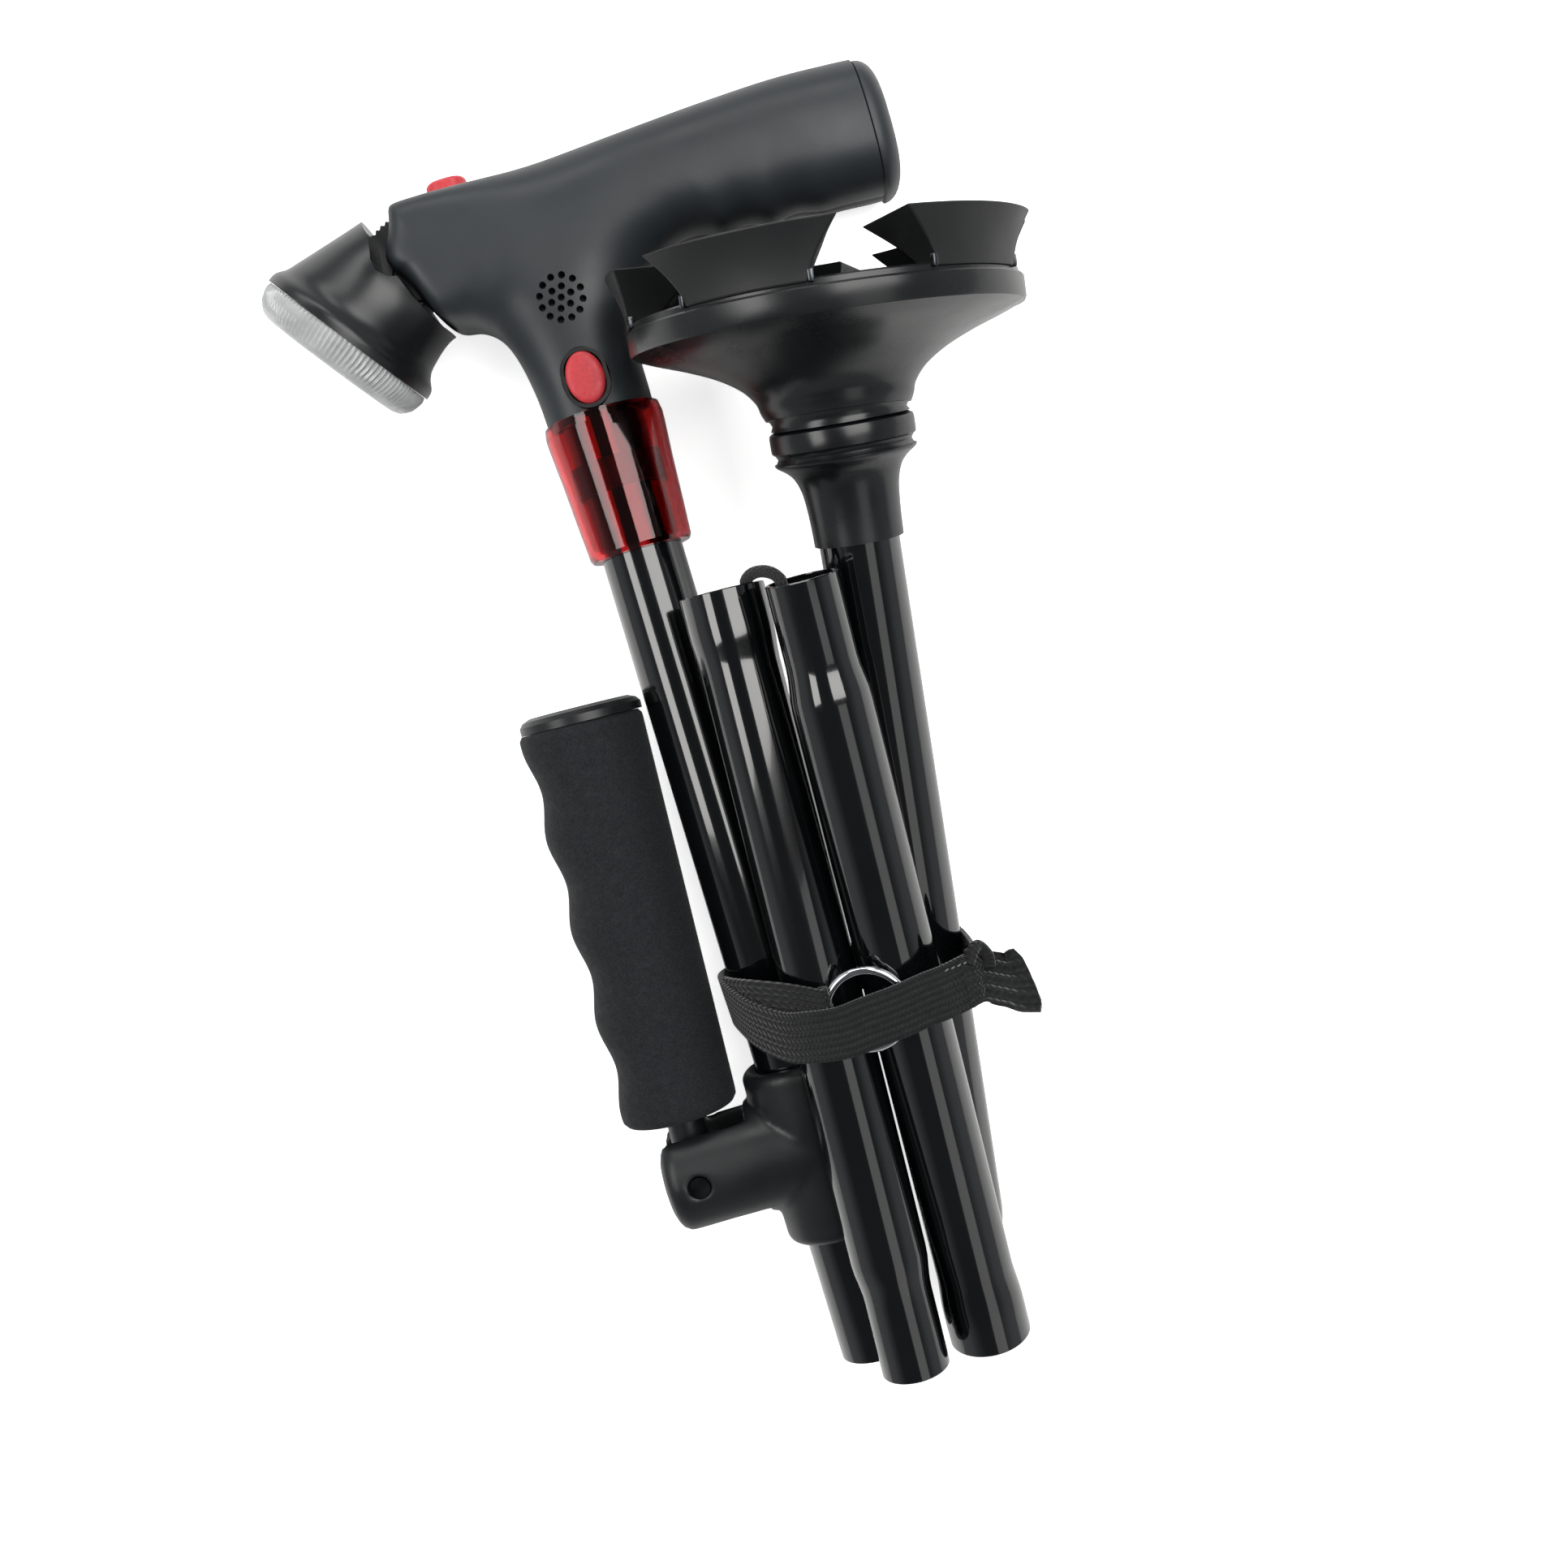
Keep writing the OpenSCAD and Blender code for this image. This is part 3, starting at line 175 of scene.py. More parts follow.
def settle(piece, place=None, angle=35):
    """Merge, turn the faces outwards, move the mesh to its place and shade it."""
    pick(piece)
    bpy.ops.object.mode_set(mode="EDIT")
    bpy.ops.mesh.select_all(action="SELECT")
    bpy.ops.mesh.remove_doubles(threshold=2e-6)
    bpy.ops.mesh.normals_make_consistent(inside=False)
    bpy.ops.object.mode_set(mode="OBJECT")
    if place is not None:
        piece.data.transform(in_metres(LIE @ place))
    bpy.ops.object.shade_smooth_by_angle(angle=math.radians(angle))
    return piece


def applied(piece, kind, **settings):
    """Add a modifier with its settings and apply it."""
    pick(piece)
    modifier = piece.modifiers.new(kind.lower(), kind)
    for key, value in settings.items():
        setattr(modifier, key, value)
    bpy.ops.object.modifier_apply(modifier=modifier.name)


def open_circle(name, sides, radius, height):
    """A circle at its height, in edit mode with all of it selected."""
    start_clean()
    bpy.ops.mesh.primitive_circle_add(vertices=sides, radius=radius * MM)
    piece = bpy.context.active_object
    piece.name = name
    bpy.ops.object.mode_set(mode="EDIT")
    bpy.ops.mesh.select_all(action="SELECT")
    bpy.ops.transform.translate(value=(0, 0, height * MM))
    return piece


def drawn_through(rings):
    """Extrude and resize the selected ring through (size, height)."""
    for (size_a, up_a), (size_b, up_b) in zip(rings, rings[1:]):
        share = size_b / size_a
        bpy.ops.mesh.extrude_edges_move(TRANSFORM_OT_translate={"value": (0, 0, (up_b - up_a) * MM)})
        bpy.ops.transform.resize(value=(share, share, 1), center_override=(0, 0, up_b * MM))


def capped():
    """Close the open ends."""
    bpy.ops.mesh.select_all(action="DESELECT")
    bpy.ops.mesh.select_non_manifold(extend=False, use_wire=False, use_multi_face=False,
                                     use_non_contiguous=False, use_verts=False)
    bpy.ops.mesh.edge_face_add()


def turned(name, rings, place, sides, angle=35, closed=True):
    """A piece turned on a lathe: a circle drawn through (radius, height), in millimetres."""
    piece = open_circle(name, sides, *rings[0])
    drawn_through(rings)
    bpy.ops.mesh.select_all(action="SELECT")
    bpy.ops.mesh.remove_doubles(threshold=4e-6)
    if not closed:
        capped()
    return settle(piece, place, angle)


def oval_pad(name, long, wide, rings, place=None, stretched=False):
    """An oval pad along local X: a circle pulled apart or stretched, then drawn through (share, height)."""
    piece = open_circle(name, 64, wide / 2, rings[0][1])
    bpy.ops.object.mode_set(mode="OBJECT")
    for corner in piece.data.vertices:
        if stretched:
            corner.co.x *= long / wide
        elif abs(corner.co.x) > 1e-7:
            corner.co.x += math.copysign((long - wide) / 2 * MM, corner.co.x)
    bpy.ops.object.mode_set(mode="EDIT")
    bpy.ops.mesh.select_all(action="SELECT")
    drawn_through(rings)
    capped()
    return settle(piece, place, 50)


def smooth_line(points, each=6):
    """A smooth run of points through the given ones."""
    pts = [np.array(p, float) for p in points]
    out = []
    for i in range(len(pts) - 1):
        a, b = pts[max(i - 1, 0)], pts[i]
        c, d = pts[i + 1], pts[min(i + 2, len(pts) - 1)]
        for k in range(each):
            t = k / each
            out.append(0.5 * (2 * b + (c - a) * t + (2 * a - 5 * b + 4 * c - d) * t * t
                              + (3 * b - a - 3 * c + d) * t ** 3))
    out.append(pts[-1])
    return out


def skinned(name, across, along, shape, angle=60, wrap=True):
    """A flat grid is added and its corners are laid on shape(u, v), in metres of the lying cane."""
    start_clean()
    bpy.ops.mesh.primitive_grid_add(x_subdivisions=across, y_subdivisions=along, size=1, calc_uvs=True)
    piece = bpy.context.active_object
    piece.name = name
    flat = np.empty(len(piece.data.vertices) * 3)
    piece.data.vertices.foreach_get("co", flat)
    spots = flat.reshape(-1, 3)[:, :2] + 0.5
    placed = np.array([shape(u, v) for u, v in spots], float)
    piece.data.vertices.foreach_set("co", placed.ravel())
    piece.data.update()
    if wrap:
        return settle(piece, None, angle)
    pick(piece)
    bpy.ops.object.shade_smooth()
    return piece


def rope(name, points, radius, sides=14, each=6):
    """A round cord along smooth points of the working frame, in millimetres, with its ends closed."""
    line = smooth_line([lay(p) for p in points], each)
    n = len(line) - 1
    ways = [line[min(i + 1, n)] - line[max(i - 1, 0)] for i in range(n + 1)]
    ways = [w / np.linalg.norm(w) for w in ways]
    side = np.cross(ways[0], (0.3, 0.2, 1.0))
    sides_at = []
    for w in ways:
        side = side - w * side.dot(w)
        side = side / np.linalg.norm(side)
        sides_at.append(side)

    def shape(u, v):
        i = int(round(v * (n + 2))) - 1
        r = radius * MM if 0 <= i <= n else 1e-7
        i = min(max(i, 0), n)
        a = ROUND * u
        return line[i] + r * (math.cos(a) * sides_at[i] + math.sin(a) * np.cross(ways[i], sides_at[i]))

    return skinned(name, sides, n + 2, shape, 80)


def meshed(name, corners, faces):
    """A piece from its corners, in millimetres of the working frame, and its faces."""
    mesh = bpy.data.meshes.new(name)
    mesh.from_pydata([[c * MM for c in corner] for corner in corners], [], faces)
    piece = bpy.data.objects.new(name, mesh)
    bpy.context.scene.collection.objects.link(piece)
    return settle(piece)


def slab(name, outline, half):
    """A plate with a drawn outline in the working frame, reaching half each way along Z."""
    n = len(outline)
    walls = [[i, (i + 1) % n, n + (i + 1) % n, n + i] for i in range(n)]
    return meshed(name, [(x, y, z) for z in (-half, half) for x, y in outline],
                  [list(range(n))[::-1], list(range(n, 2 * n))] + walls)


def block(place):
    """A unit cube in its place, in millimetres."""
    start_clean()
    bpy.ops.mesh.primitive_cube_add(size=1)
    piece = bpy.context.active_object
    piece.data.transform(Matrix.Scale(MM, 4) @ place)
    return piece


def cut_with(piece, cutter):
    """Cut one solid out of another."""
    applied(piece, "BOOLEAN", operation="DIFFERENCE", solver="EXACT", object=cutter)
    bpy.data.objects.remove(cutter)


def bored(piece, radius, low, high, x, y, sides):
    """A round hole along working Z."""
    start_clean()
    bpy.ops.mesh.primitive_cylinder_add(vertices=sides, radius=radius * MM, depth=(high - low) * MM,
                                        location=(x * MM, y * MM, (low + high) / 2 * MM))
    cut_with(piece, bpy.context.active_object)


def softened(piece, width, segments=3, angle=35):
    """Round the sharp edges."""
    applied(piece, "BEVEL", width=width * MM, segments=segments, limit_method="ANGLE",
            angle_limit=math.radians(angle), use_clamp_overlap=True)
    bpy.ops.object.shade_smooth_by_angle(angle=math.radians(40))


def copied(piece, name, place=None):
    """A copy with its own mesh, moved to its place."""
    other = piece.copy()
    other.data = piece.data.copy()
    other.name = other.data.name = name
    bpy.context.scene.collection.objects.link(other)
    if place is not None:
        other.data.transform(in_metres(LIE @ place))
    return other


def copy_of(node, name):
    """A merged copy of a frame solid, to be finished as a piece."""
    start_clean()
    piece = copied(NODES[node], name)
    piece.parent = None
    for key in list(piece.keys()):
        del piece[key]
    piece.hide_render = piece.hide_viewport = False
    pick(piece)
    bpy.ops.object.mode_set(mode="EDIT")
    bpy.ops.mesh.select_all(action="SELECT")
    bpy.ops.mesh.remove_doubles(threshold=1e-6)
    bpy.ops.mesh.dissolve_limited(angle_limit=math.radians(1.0))
    bpy.ops.object.mode_set(mode="OBJECT")
    return piece


# Finishes


class Finish:
    """A material that is put together node by node."""

    def __init__(self, name):
        self.material = bpy.data.materials.new(name)
        self.material.use_nodes = True
        self.tree = self.material.node_tree
        self.shader = self.tree.nodes["Principled BSDF"]
        self.spot = self.add("TexCoord")

    def add(self, kind, **inputs):
        """A node whose sockets are set or linked by name."""
        node = self.tree.nodes.new("ShaderNode" + kind)
        self.fill(node, **inputs)
        return node

    def fill(self, node, **inputs):
        for key, value in inputs.items():
            self.put(value, node.inputs[key.replace("_", " ")])

    def put(self, value, socket):
        if isinstance(value, bpy.types.NodeSocket):
            self.tree.links.new(value, socket)
        else:
            socket.default_value = value

    def sockets(self, **values):
        self.fill(self.shader, **values)

    def noise(self, scale, detail=3.0, rough=0.55, stretch=None):
        spot = self.spot.outputs["Object"]
        if stretch:
            spot = self.add("Mapping", Vector=spot, Scale=stretch).outputs["Vector"]
        return self.add("TexNoise", Vector=spot, Scale=scale, Detail=detail, Roughness=rough).outputs["Fac"]

    def span(self, source, low, high, from_low=0.3, from_high=0.7):
        return self.add("MapRange", Value=source, From_Min=from_low, From_Max=from_high, To_Min=low,
                        To_Max=high).outputs["Result"]

    def math(self, kind, *values):
        node = self.add("Math")
        node.operation = kind
        for socket, value in zip(node.inputs, values):
            self.put(value, socket)
        return node.outputs["Value"]

    def along_map(self):
        """The two ways of the piece's own map."""
        parts = self.add("SeparateXYZ", Vector=self.spot.outputs["UV"])
        return parts.outputs["X"], parts.outputs["Y"]

    def colour(self, source, dark, light, low=0.35, high=0.65):
        node = self.add("ValToRGB", Fac=source)
        for stop, at, tone in zip(node.color_ramp.elements, (low, high), (dark, light)):
            stop.position = at
            stop.color = (*tone, 1)
        self.sockets(Base_Color=node.outputs["Color"])

    def rough(self, source, low, high):
        self.sockets(Roughness=self.span(source, low, high))

    def bump(self, source, strength, depth):
        node = self.add("Bump", Height=source, Strength=strength, Distance=depth)
        self.sockets(Normal=node.outputs["Normal"])


def shades(*hexed):
    """Colours written as #rrggbb, in linear light."""
    def linear(c):
        return c / 12.92 if c <= 0.04045 else ((c + 0.055) / 1.055) ** 2.4

    return [tuple(linear(int(tone[i:i + 2], 16) / 255) for i in (1, 3, 5)) for tone in hexed]


def around(tone, low, high):
    """A darker and a lighter tone of one colour."""
    return tuple(c * low for c in tone), tuple(min(c * high, 1) for c in tone)


def surface(name, tones, gloss, drift, wear, grain, strength, depth, **sockets):
    """A finish with drifting shade, uneven gloss and bumped grain, each from a noise."""
    f = Finish(name)
    f.sockets(**sockets)
    f.colour(f.noise(*drift), *tones)
    f.rough(f.noise(*wear), *gloss)
    f.bump(f.noise(*grain), strength, depth)
    return f.material


def moulded(name, tones, gloss, grain=1800, strength=0.25, specular=0.5):
    """Moulded plastic: fine spark-eroded grain, slow shade drift, uneven gloss."""
    return surface(name, tones, gloss, (24, 4), (60, 3), (grain, 2, 0.6), strength, 0.00006,
                   Specular_IOR_Level=specular)


def enamel(name, tones):
    """Gloss enamel on drawn tube: a deep black coat with long faint draw lines."""
    return surface(name, tones, (0.07, 0.14), (30, 4), (1, 4, 0.6, (140, 9, 140)),
                   (1, 3, 0.6, (260, 16, 260)), 0.12, 0.00004, Coat_Weight=0.7, Coat_Roughness=0.04,
                   Coat_IOR=1.5, Specular_IOR_Level=0.5)


def bright_metal(name, tones, gloss):
    """Plated or turned metal with fine wear."""
    return surface(name, tones, gloss, (180, 4), (320, 4), (2200, 2), 0.1, 0.00003, Metallic=1.0)


def clear_red(name):
    """Clear red moulding with faint flow lines."""
    return surface(name, ((0.60, 0.012, 0.022), (0.72, 0.02, 0.032)), (0.02, 0.06), (60, 3), (90, 3), (40, 2),
                   0.08, 0.0002, Transmission_Weight=1.0, IOR=1.46, Specular_IOR_Level=0.5)


def clear_lens(name):
    """Clear ribbed lens plastic with a silvery haze."""
    return surface(name, ((0.52, 0.54, 0.54), (0.68, 0.7, 0.7)), (0.08, 0.18), (120, 3), (200, 3), (90, 2),
                   0.1, 0.0002, Transmission_Weight=0.4, IOR=1.49, Specular_IOR_Level=0.6)


def button_gum(name, tones):
    """Soft red button rubber with speckle."""
    return surface(name, tones, (0.35, 0.5), (900, 3), (300, 3), (1500, 2), 0.2, 0.00008,
                   Specular_IOR_Level=0.4, Subsurface_Weight=0.1, Subsurface_Radius=(0.002, 0.0006, 0.0005))


def foam_skin(name, tones):
    """Closed foam: open pores with painted shade in them, and a grey speckle."""
    f = Finish(name)
    f.sockets(Specular_IOR_Level=0.2, Sheen_Weight=0.05, Sheen_Roughness=0.5)
    pores = f.add("TexVoronoi", Vector=f.spot.outputs["Object"], Scale=1700)
    pore_depth_and_painted_shade = f.math("MULTIPLY", pores.outputs["Distance"], f.noise(2600, 4, 0.7))
    # Painted shade in the pores, times a random grey speckle from the noise.
    f.colour(pore_depth_and_painted_shade, *tones, 0.08, 0.42)
    f.rough(f.noise(400, 3), 0.72, 0.92)
    f.bump(pore_depth_and_painted_shade, 0.4, 0.0002)
    return f.material


def webbing(name, tones, rows, picks):
    """Woven elastic: raised lengthwise rows with slanted picks, from the piece's own map, with painted shade
    in the grooves.
    """
    f = Finish(name)
    f.sockets(Specular_IOR_Level=0.3, Sheen_Weight=0.25, Sheen_Roughness=0.4)
    across, along = f.along_map()
    row = f.math("SINE", f.math("MULTIPLY", across, rows * ROUND))
    flip = f.math("SIGN", f.math("SINE", f.math("MULTIPLY", across, rows * math.pi)))
    slant = f.math("MULTIPLY", flip, f.math("MULTIPLY", across, rows * 5.0))
    pick_wave = f.math("SINE", f.math("ADD", f.math("MULTIPLY", along, picks * ROUND), slant))
    height = f.math("ADD", f.math("MULTIPLY", row, 0.6), f.math("MULTIPLY", pick_wave, 0.35))
    # Painted shade and highlight: darker in the grooves, lighter on the raised rows, plus a random tone from
    # the noise.
    tone = f.math("ADD", height, f.noise(700, 4, 0.7))
    f.colour(f.span(tone, 0, 1, -0.6, 1.6), *tones, 0.2, 0.85)
    f.rough(f.noise(500, 3), 0.7, 0.9)
    f.bump(height, 0.7, 0.0004)
    return f.material


def braid(name, tones):
    """Braided cord sleeve from the piece's own map, with painted shade between the strands and a painted
    highlight on their crests.
    """
    f = Finish(name)
    f.sockets(Specular_IOR_Level=0.35, Sheen_Weight=0.2)
    across, along = f.along_map()
    round_way = f.math("MULTIPLY", across, 16 * math.pi)
    long_way = f.math("MULTIPLY", along, 90.0)
    strands = [f.math("SINE", f.math(kind, round_way, long_way)) for kind in ("ADD", "SUBTRACT")]
    height = f.math("MAXIMUM", *strands)
    # Painted shade and highlight: darker between the strands, lighter on their crests.
    f.colour(f.span(height, 0, 1, -0.5, 1), *tones, 0.2, 0.9)
    f.rough(f.noise(600, 3), 0.55, 0.75)
    f.bump(height, 0.5, 0.0003)
    return f.material


def dressed(piece, material):
    """Give a piece one finish all over."""
    piece.data.materials.clear()
    piece.data.materials.append(material)


def repaint(nodes, material):
    """Give frame solids a finish in their own slots."""
    for name in nodes:
        solid = NODES[name]
        if not solid.material_slots:
            solid.data.materials.append(material)
        for place in solid.material_slots:
            place.material = material


def finished(piece, body, slot, material, *stands_for):
    """Put a piece on its body with its finish, and hide the solids it stands for."""
    dressed(piece, material)
    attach(piece, body)
    if stands_for:
        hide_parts(*stands_for)


def bending(piece, joint, start, end, material):
    """Give a piece its finish and fix its place in its mesh."""
    dressed(piece, material)
    tuple(lay(start))
    tuple(lay(end))
    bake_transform(piece)


# Sizes and colours that a user would change


def tint(name, description, default):
    return FloatVectorProperty(name=name, description=description, subtype="COLOR", size=3, default=default,
                               min=0, max=1)


def measure(name, description, default, low, high):
    return FloatProperty(name=name, description=description, unit="LENGTH", default=default, min=low,
                         max=high)


class CaneShades(bpy.types.PropertyGroup):
    """Colours of the cane's finishes."""
    plastic: tint("Handle plastic", "Shade of the handle's moulded plastic", (0.0165, 0.0205, 0.0235))
    paint: tint("Tube enamel", "Shade of the tubes' gloss enamel", (0.0012, 0.0016, 0.002))
    button: tint("Button red", "Shade of the two push buttons", (0.50, 0.035, 0.045))
    foam: tint("Foam", "Shade of the second handle's foam", (0.0085, 0.0102, 0.0118))
    band: tint("Band", "Shade of the woven band", (0.0042, 0.0048, 0.0053))


class CaneSizes(bpy.types.PropertyGroup):
    """Sizes of the details that the frame leaves open."""
    finger_depth: measure("Finger depth", "Depth of the foam's finger waves on their own side", 0.0021, 0,
                          0.004)
    cord_width: measure("Cord width", "Diameter of the elastic cord", 0.003, 0.002, 0.005)
    band_width: measure("Band width", "Width of the woven band", 0.0128, 0.01, 0.02)
    lens_ribs: IntProperty(name="Lens ribs", description="Ribs round the lamp's lens ring", default=110,
                           min=12, max=160)
    grille_hole: measure("Grille hole", "Radius of a hole in the siren's grille", 0.0009, 0.0004, 0.002)


# Handle

# Ridge of the handle: shares of the length from the nose, of the height below the top, of the half depth
RIDGE = [(0.295, 2.061, 0.848), (0.295, 1.87, 0.848), (0.295, 1.677, 0.848), (0.295, 1.452, 0.855),
         (0.295, 1.26, 0.885), (0.295, 0.65, 0.97), (0.424, 0.484, 1), (0.521, 0.452, 1), (0.601, 0.452, 1),
         (0.674, 0.452, 1), (0.747, 0.452, 1), (0.811, 0.452, 1), (0.868, 0.468, 0.99), (0.932, 0.5, 0.97),
         (0.988, 0.535, 0.955), (0.182, 0.5, 0.97), (0.077, 0.484, 0.91)]
STEM_RIDGE, CAP_RIDGE = 0, 14
# Outline: the same shares, and the ridge point that the outline rises to
RIGHT_SIDE = [(1.87, 1), (1.677, 2), (1.452, 3)]
UNDERSIDE = [(0.426, 1.258, 4), (0.466, 1.09, 5), (0.512, 0.965, 6), (0.548, 0.895, 7), (0.583, 0.868, 7),
             (0.618, 0.892, 8), (0.648, 0.965, 8), (0.68, 0.915, 9), (0.716, 0.925, 9), (0.748, 0.998, 10),
             (0.782, 0.942, 10), (0.82, 0.945, 11), (0.854, 1.0, 12), (0.9, 0.985, 12), (0.945, 1.01, 13),
             (1.0, 1.035, 14)]
OVER = [(1.0, -0.07, 14), (0.935, -0.11, 13), (0.87, -0.127, 12), (0.805, -0.13, 11), (0.742, -0.124, 10),
        (0.667, -0.113, 9), (0.593, -0.098, 8), (0.517, -0.079, 7), (0.42, -0.058, 6), (0.295, -0.036, 5),
        (0.198, -0.03, 15), (0.093, -0.026, 16), (0.045, -0.026, 16), (0.014, -0.024, 16), (0.004, 0.0, 16),
        (0.0, 0.077, 16), (-0.006, 0.174, 16), (-0.018, 0.264, 16), (-0.029, 0.348, 16), (-0.031, 0.435, 16),
        (-0.02, 0.52, 16), (-0.004, 0.556, 16), (0.006, 0.668, 16), (0.016, 0.784, 16), (0.041, 0.985, 16),
        (0.066, 1.048, 16), (0.0926, 1.066, 15), (0.119, 1.128, 15), (0.1426, 1.232, 5), (0.1587, 1.371, 4),
        (0.169, 1.54, 3), (0.1765, 1.742, 2), (0.181, 1.93, 1)]
# How round the section is: the nose is squarer than the rest
FULLNESS = 0.8
NOSE_FULLNESS = {15: 0.6, 16: 0.42}
# The cage runs past its ends, which are then cut flat
RUN_PAST, NEAR_END = 14.0, 0.2


def handle_cage():
    """Corners and faces of the handle's control cage, both halves in one closed skin."""
    def spot(sx, sy):
        return NOSE_X + sx * HANDLE_LEN, HANDLE_TOP - sy * GRIP_H

    ridge = [(*spot(a, b), c * HANDLE_HALF) for a, b, c in RIDGE]
    rim = [(STEM_R, STEM_LOW, 0)] + [(STEM_R, HANDLE_TOP - y * GRIP_H, k) for y, k in RIGHT_SIDE]
    rim += [(*spot(a, b), k) for a, b, k in UNDERSIDE + OVER] + [(-STEM_R, STEM_LOW, 0)]
    rim = [(x + (RUN_PAST if x > SHELL_END - NEAR_END else 0),
            y - (RUN_PAST if y < STEM_LOW + NEAR_END else 0), k) for x, y, k in rim]
    for k, dx, dy in ((STEM_RIDGE, 0, -RUN_PAST), (CAP_RIDGE, RUN_PAST, 0)):
        ridge[k] = (ridge[k][0] + dx, ridge[k][1] + dy, ridge[k][2])
    steps, n = 7, len(rim)
    corners, faces = [], []
    for side in (1, -1):
        for k in range(steps):
            c, s = cos_sin(90 * k / steps)
            for x, y, m in rim:
                full = NOSE_FULLNESS.get(m, FULLNESS)
                out, up = c ** full, s ** full if k else 0
                corners.append((ridge[m][0] + (x - ridge[m][0]) * out, ridge[m][1] + (y - ridge[m][1]) * out,
                                side * ridge[m][2] * up))
        corners += [(x, y, side * z) for x, y, z in ridge]
    block_size = steps * n + len(ridge)
    for first in (0, block_size):
        last_ring, ridge_at = first + (steps - 1) * n, first + steps * n
        for i in range(n):
            j = (i + 1) % n
            for ring in range(first, last_ring, n):
                faces.append([ring + i, ring + n + i, ring + n + j, ring + j])
            a, b = rim[i][2], rim[j][2]
            ends = [ridge_at + a] if a == b else [ridge_at + a, ridge_at + b]
            faces.append([last_ring + i] + ends + [last_ring + j])
    return corners, faces


def polar(radius, angle):
    """A point round the lamp's pivot."""
    c, s = cos_sin(angle)
    return LAMP_AT.x + radius * c, LAMP_AT.y + radius * s


class CANE_OT_handle(bpy.types.Operator):
    """Model the handle's body, its battery cap and its buttons"""
    bl_idname = "cane.handle"
    bl_label = "Handle"
    bl_options = {"REGISTER", "UNDO"}

    def execute(self, context):
        tones, sizes = context.scene.cane_shades, context.scene.cane_sizes
        plastic = moulded("charcoal plastic", around(tones.plastic, 0.86, 1.12), (0.38, 0.5), specular=0.4)
        body = self.body(sizes.grille_hole / MM)
        finished(body, TOP, "shell", plastic, "handle_front_shell", "handle_back_shell")
        finished(self.cap(), DOOR, "shell", plastic, "battery_cap")
        gum = button_gum("red button", around(tones.button, 0.9, 1.1))
        finished(self.alarm(), "alarm_push", "red", gum, "alarm_button")
        finished(self.light(), "light_push", "red", gum, "light_button")
        return {"FINISHED"}

    def body(self, hole):
        body = meshed("handle_body", *handle_cage())
        applied(body, "SUBSURF", levels=2, render_levels=2)
        bpy.ops.object.mode_set(mode="EDIT")
        for at, way in (((0, STEM_LOW, 0), (0, -1, 0)), ((SHELL_END, HANDLE_TOP, 0), (1, 0, 0))):
            bpy.ops.mesh.select_all(action="SELECT")
            bpy.ops.mesh.bisect(plane_co=[c * MM for c in at], plane_no=way, use_fill=True, clear_outer=True)
        self.parting_line(body.data)
        self.openings(body, hole)
        return settle(body, WORKING, 32)

    def parting_line(self, mesh):
        """A fine groove where the two halves meet."""
        wide, deep, level = 0.22, 0.35, 1e-6
        bpy.ops.mesh.select_mode(type="EDGE")
        bpy.ops.mesh.select_all(action="DESELECT")
        bpy.ops.object.mode_set(mode="OBJECT")
        for edge in mesh.edges:
            edge.select = all(abs(mesh.vertices[v].co.z) < level for v in edge.vertices)
        bpy.ops.object.mode_set(mode="EDIT")
        bpy.ops.mesh.bevel(offset=wide * MM, segments=2, affect="EDGES")
        bpy.ops.mesh.select_mode(type="VERT")
        bpy.ops.object.mode_set(mode="OBJECT")
        for corner in mesh.vertices:
            corner.select = abs(corner.co.z) < level
        bpy.ops.object.mode_set(mode="EDIT")
        bpy.ops.transform.shrink_fatten(value=-deep * MM)
        bpy.ops.object.mode_set(mode="OBJECT")

    def openings(self, body, hole):
        """Lamp slot, room for the comb, button recesses and the siren's grille."""
        x, y = LAMP_AT.x, LAMP_AT.y
        start_clean()
        bpy.ops.mesh.primitive_cube_add(size=1, location=((x - 12.5) * MM, (y - 1.45) * MM, 0))
        lamp_slot = bpy.context.active_object
        lamp_slot.data.transform(Matrix.Diagonal((25 * MM, 19.3 * MM, 12.7 * MM, 1)))
        cut_with(body, lamp_slot)
        bored(body, 8.2, -6.35, 6.35, x, y, 40)
        cut_with(body, slab("comb_room", [(x, y)] + [polar(16.9, a) for a in range(74, 200, 6)], 5.4))
        recess = oval_pad("recess", 15.8, 12.4, [(1, 0), (1, 9)], stretched=True)
        recess.data.transform(shifted(0, ALARM_UP * MM, 10.4 * MM) @ about("Z", 90))
        cut_with(body, recess)
        light_slot = oval_pad("light_slot", 11.3, 8.7, [(1, 0), (1, 16)])
        light_slot.data.transform(shifted(LIGHT_X * MM, 313.6 * MM, 0) @ about("X", -90))
        cut_with(body, light_slot)
        for ring, count in ((0, 1), (2.7, 6), (5.4, 12)):
            for k in range(count):
                a = ROUND * k / count + 0.2
                bored(body, hole, 9, 18, ring * math.cos(a), GRILLE_UP + ring * math.sin(a), 14)

    def cap(self):
        """Battery cap: rings of the grip's own section, closing in a shallow crown."""
        low, high, half = HANDLE_TOP - 1.035 * GRIP_H, HANDLE_TOP + 0.07 * GRIP_H, 0.955 * HANDLE_HALF
        middle, tall = (low + high) / 2, (high - low) / 2
        steps, crown = 14, 5.6
        inside = [(-2.2, 0.001), (-2.2, 0.66), (0.12, 0.975)]

        def rounded(t):
            return math.copysign(abs(t) ** FULLNESS, t)

        def shape(u, v):
            k = v * (steps + 2)
            a = ROUND * u
            if k < len(inside) - 0.5:
                out, f = inside[int(round(k))]
            else:
                d = math.radians(90 * (k - len(inside)) / (steps - 1))
                out, f = 0.4 + crown * math.sin(d), max(math.cos(d), 1e-6) ** 0.42
            up, side = rounded(math.sin(a)), rounded(math.cos(a))
            return lay((SHELL_END + out, middle + tall * f * up, half * f * side))

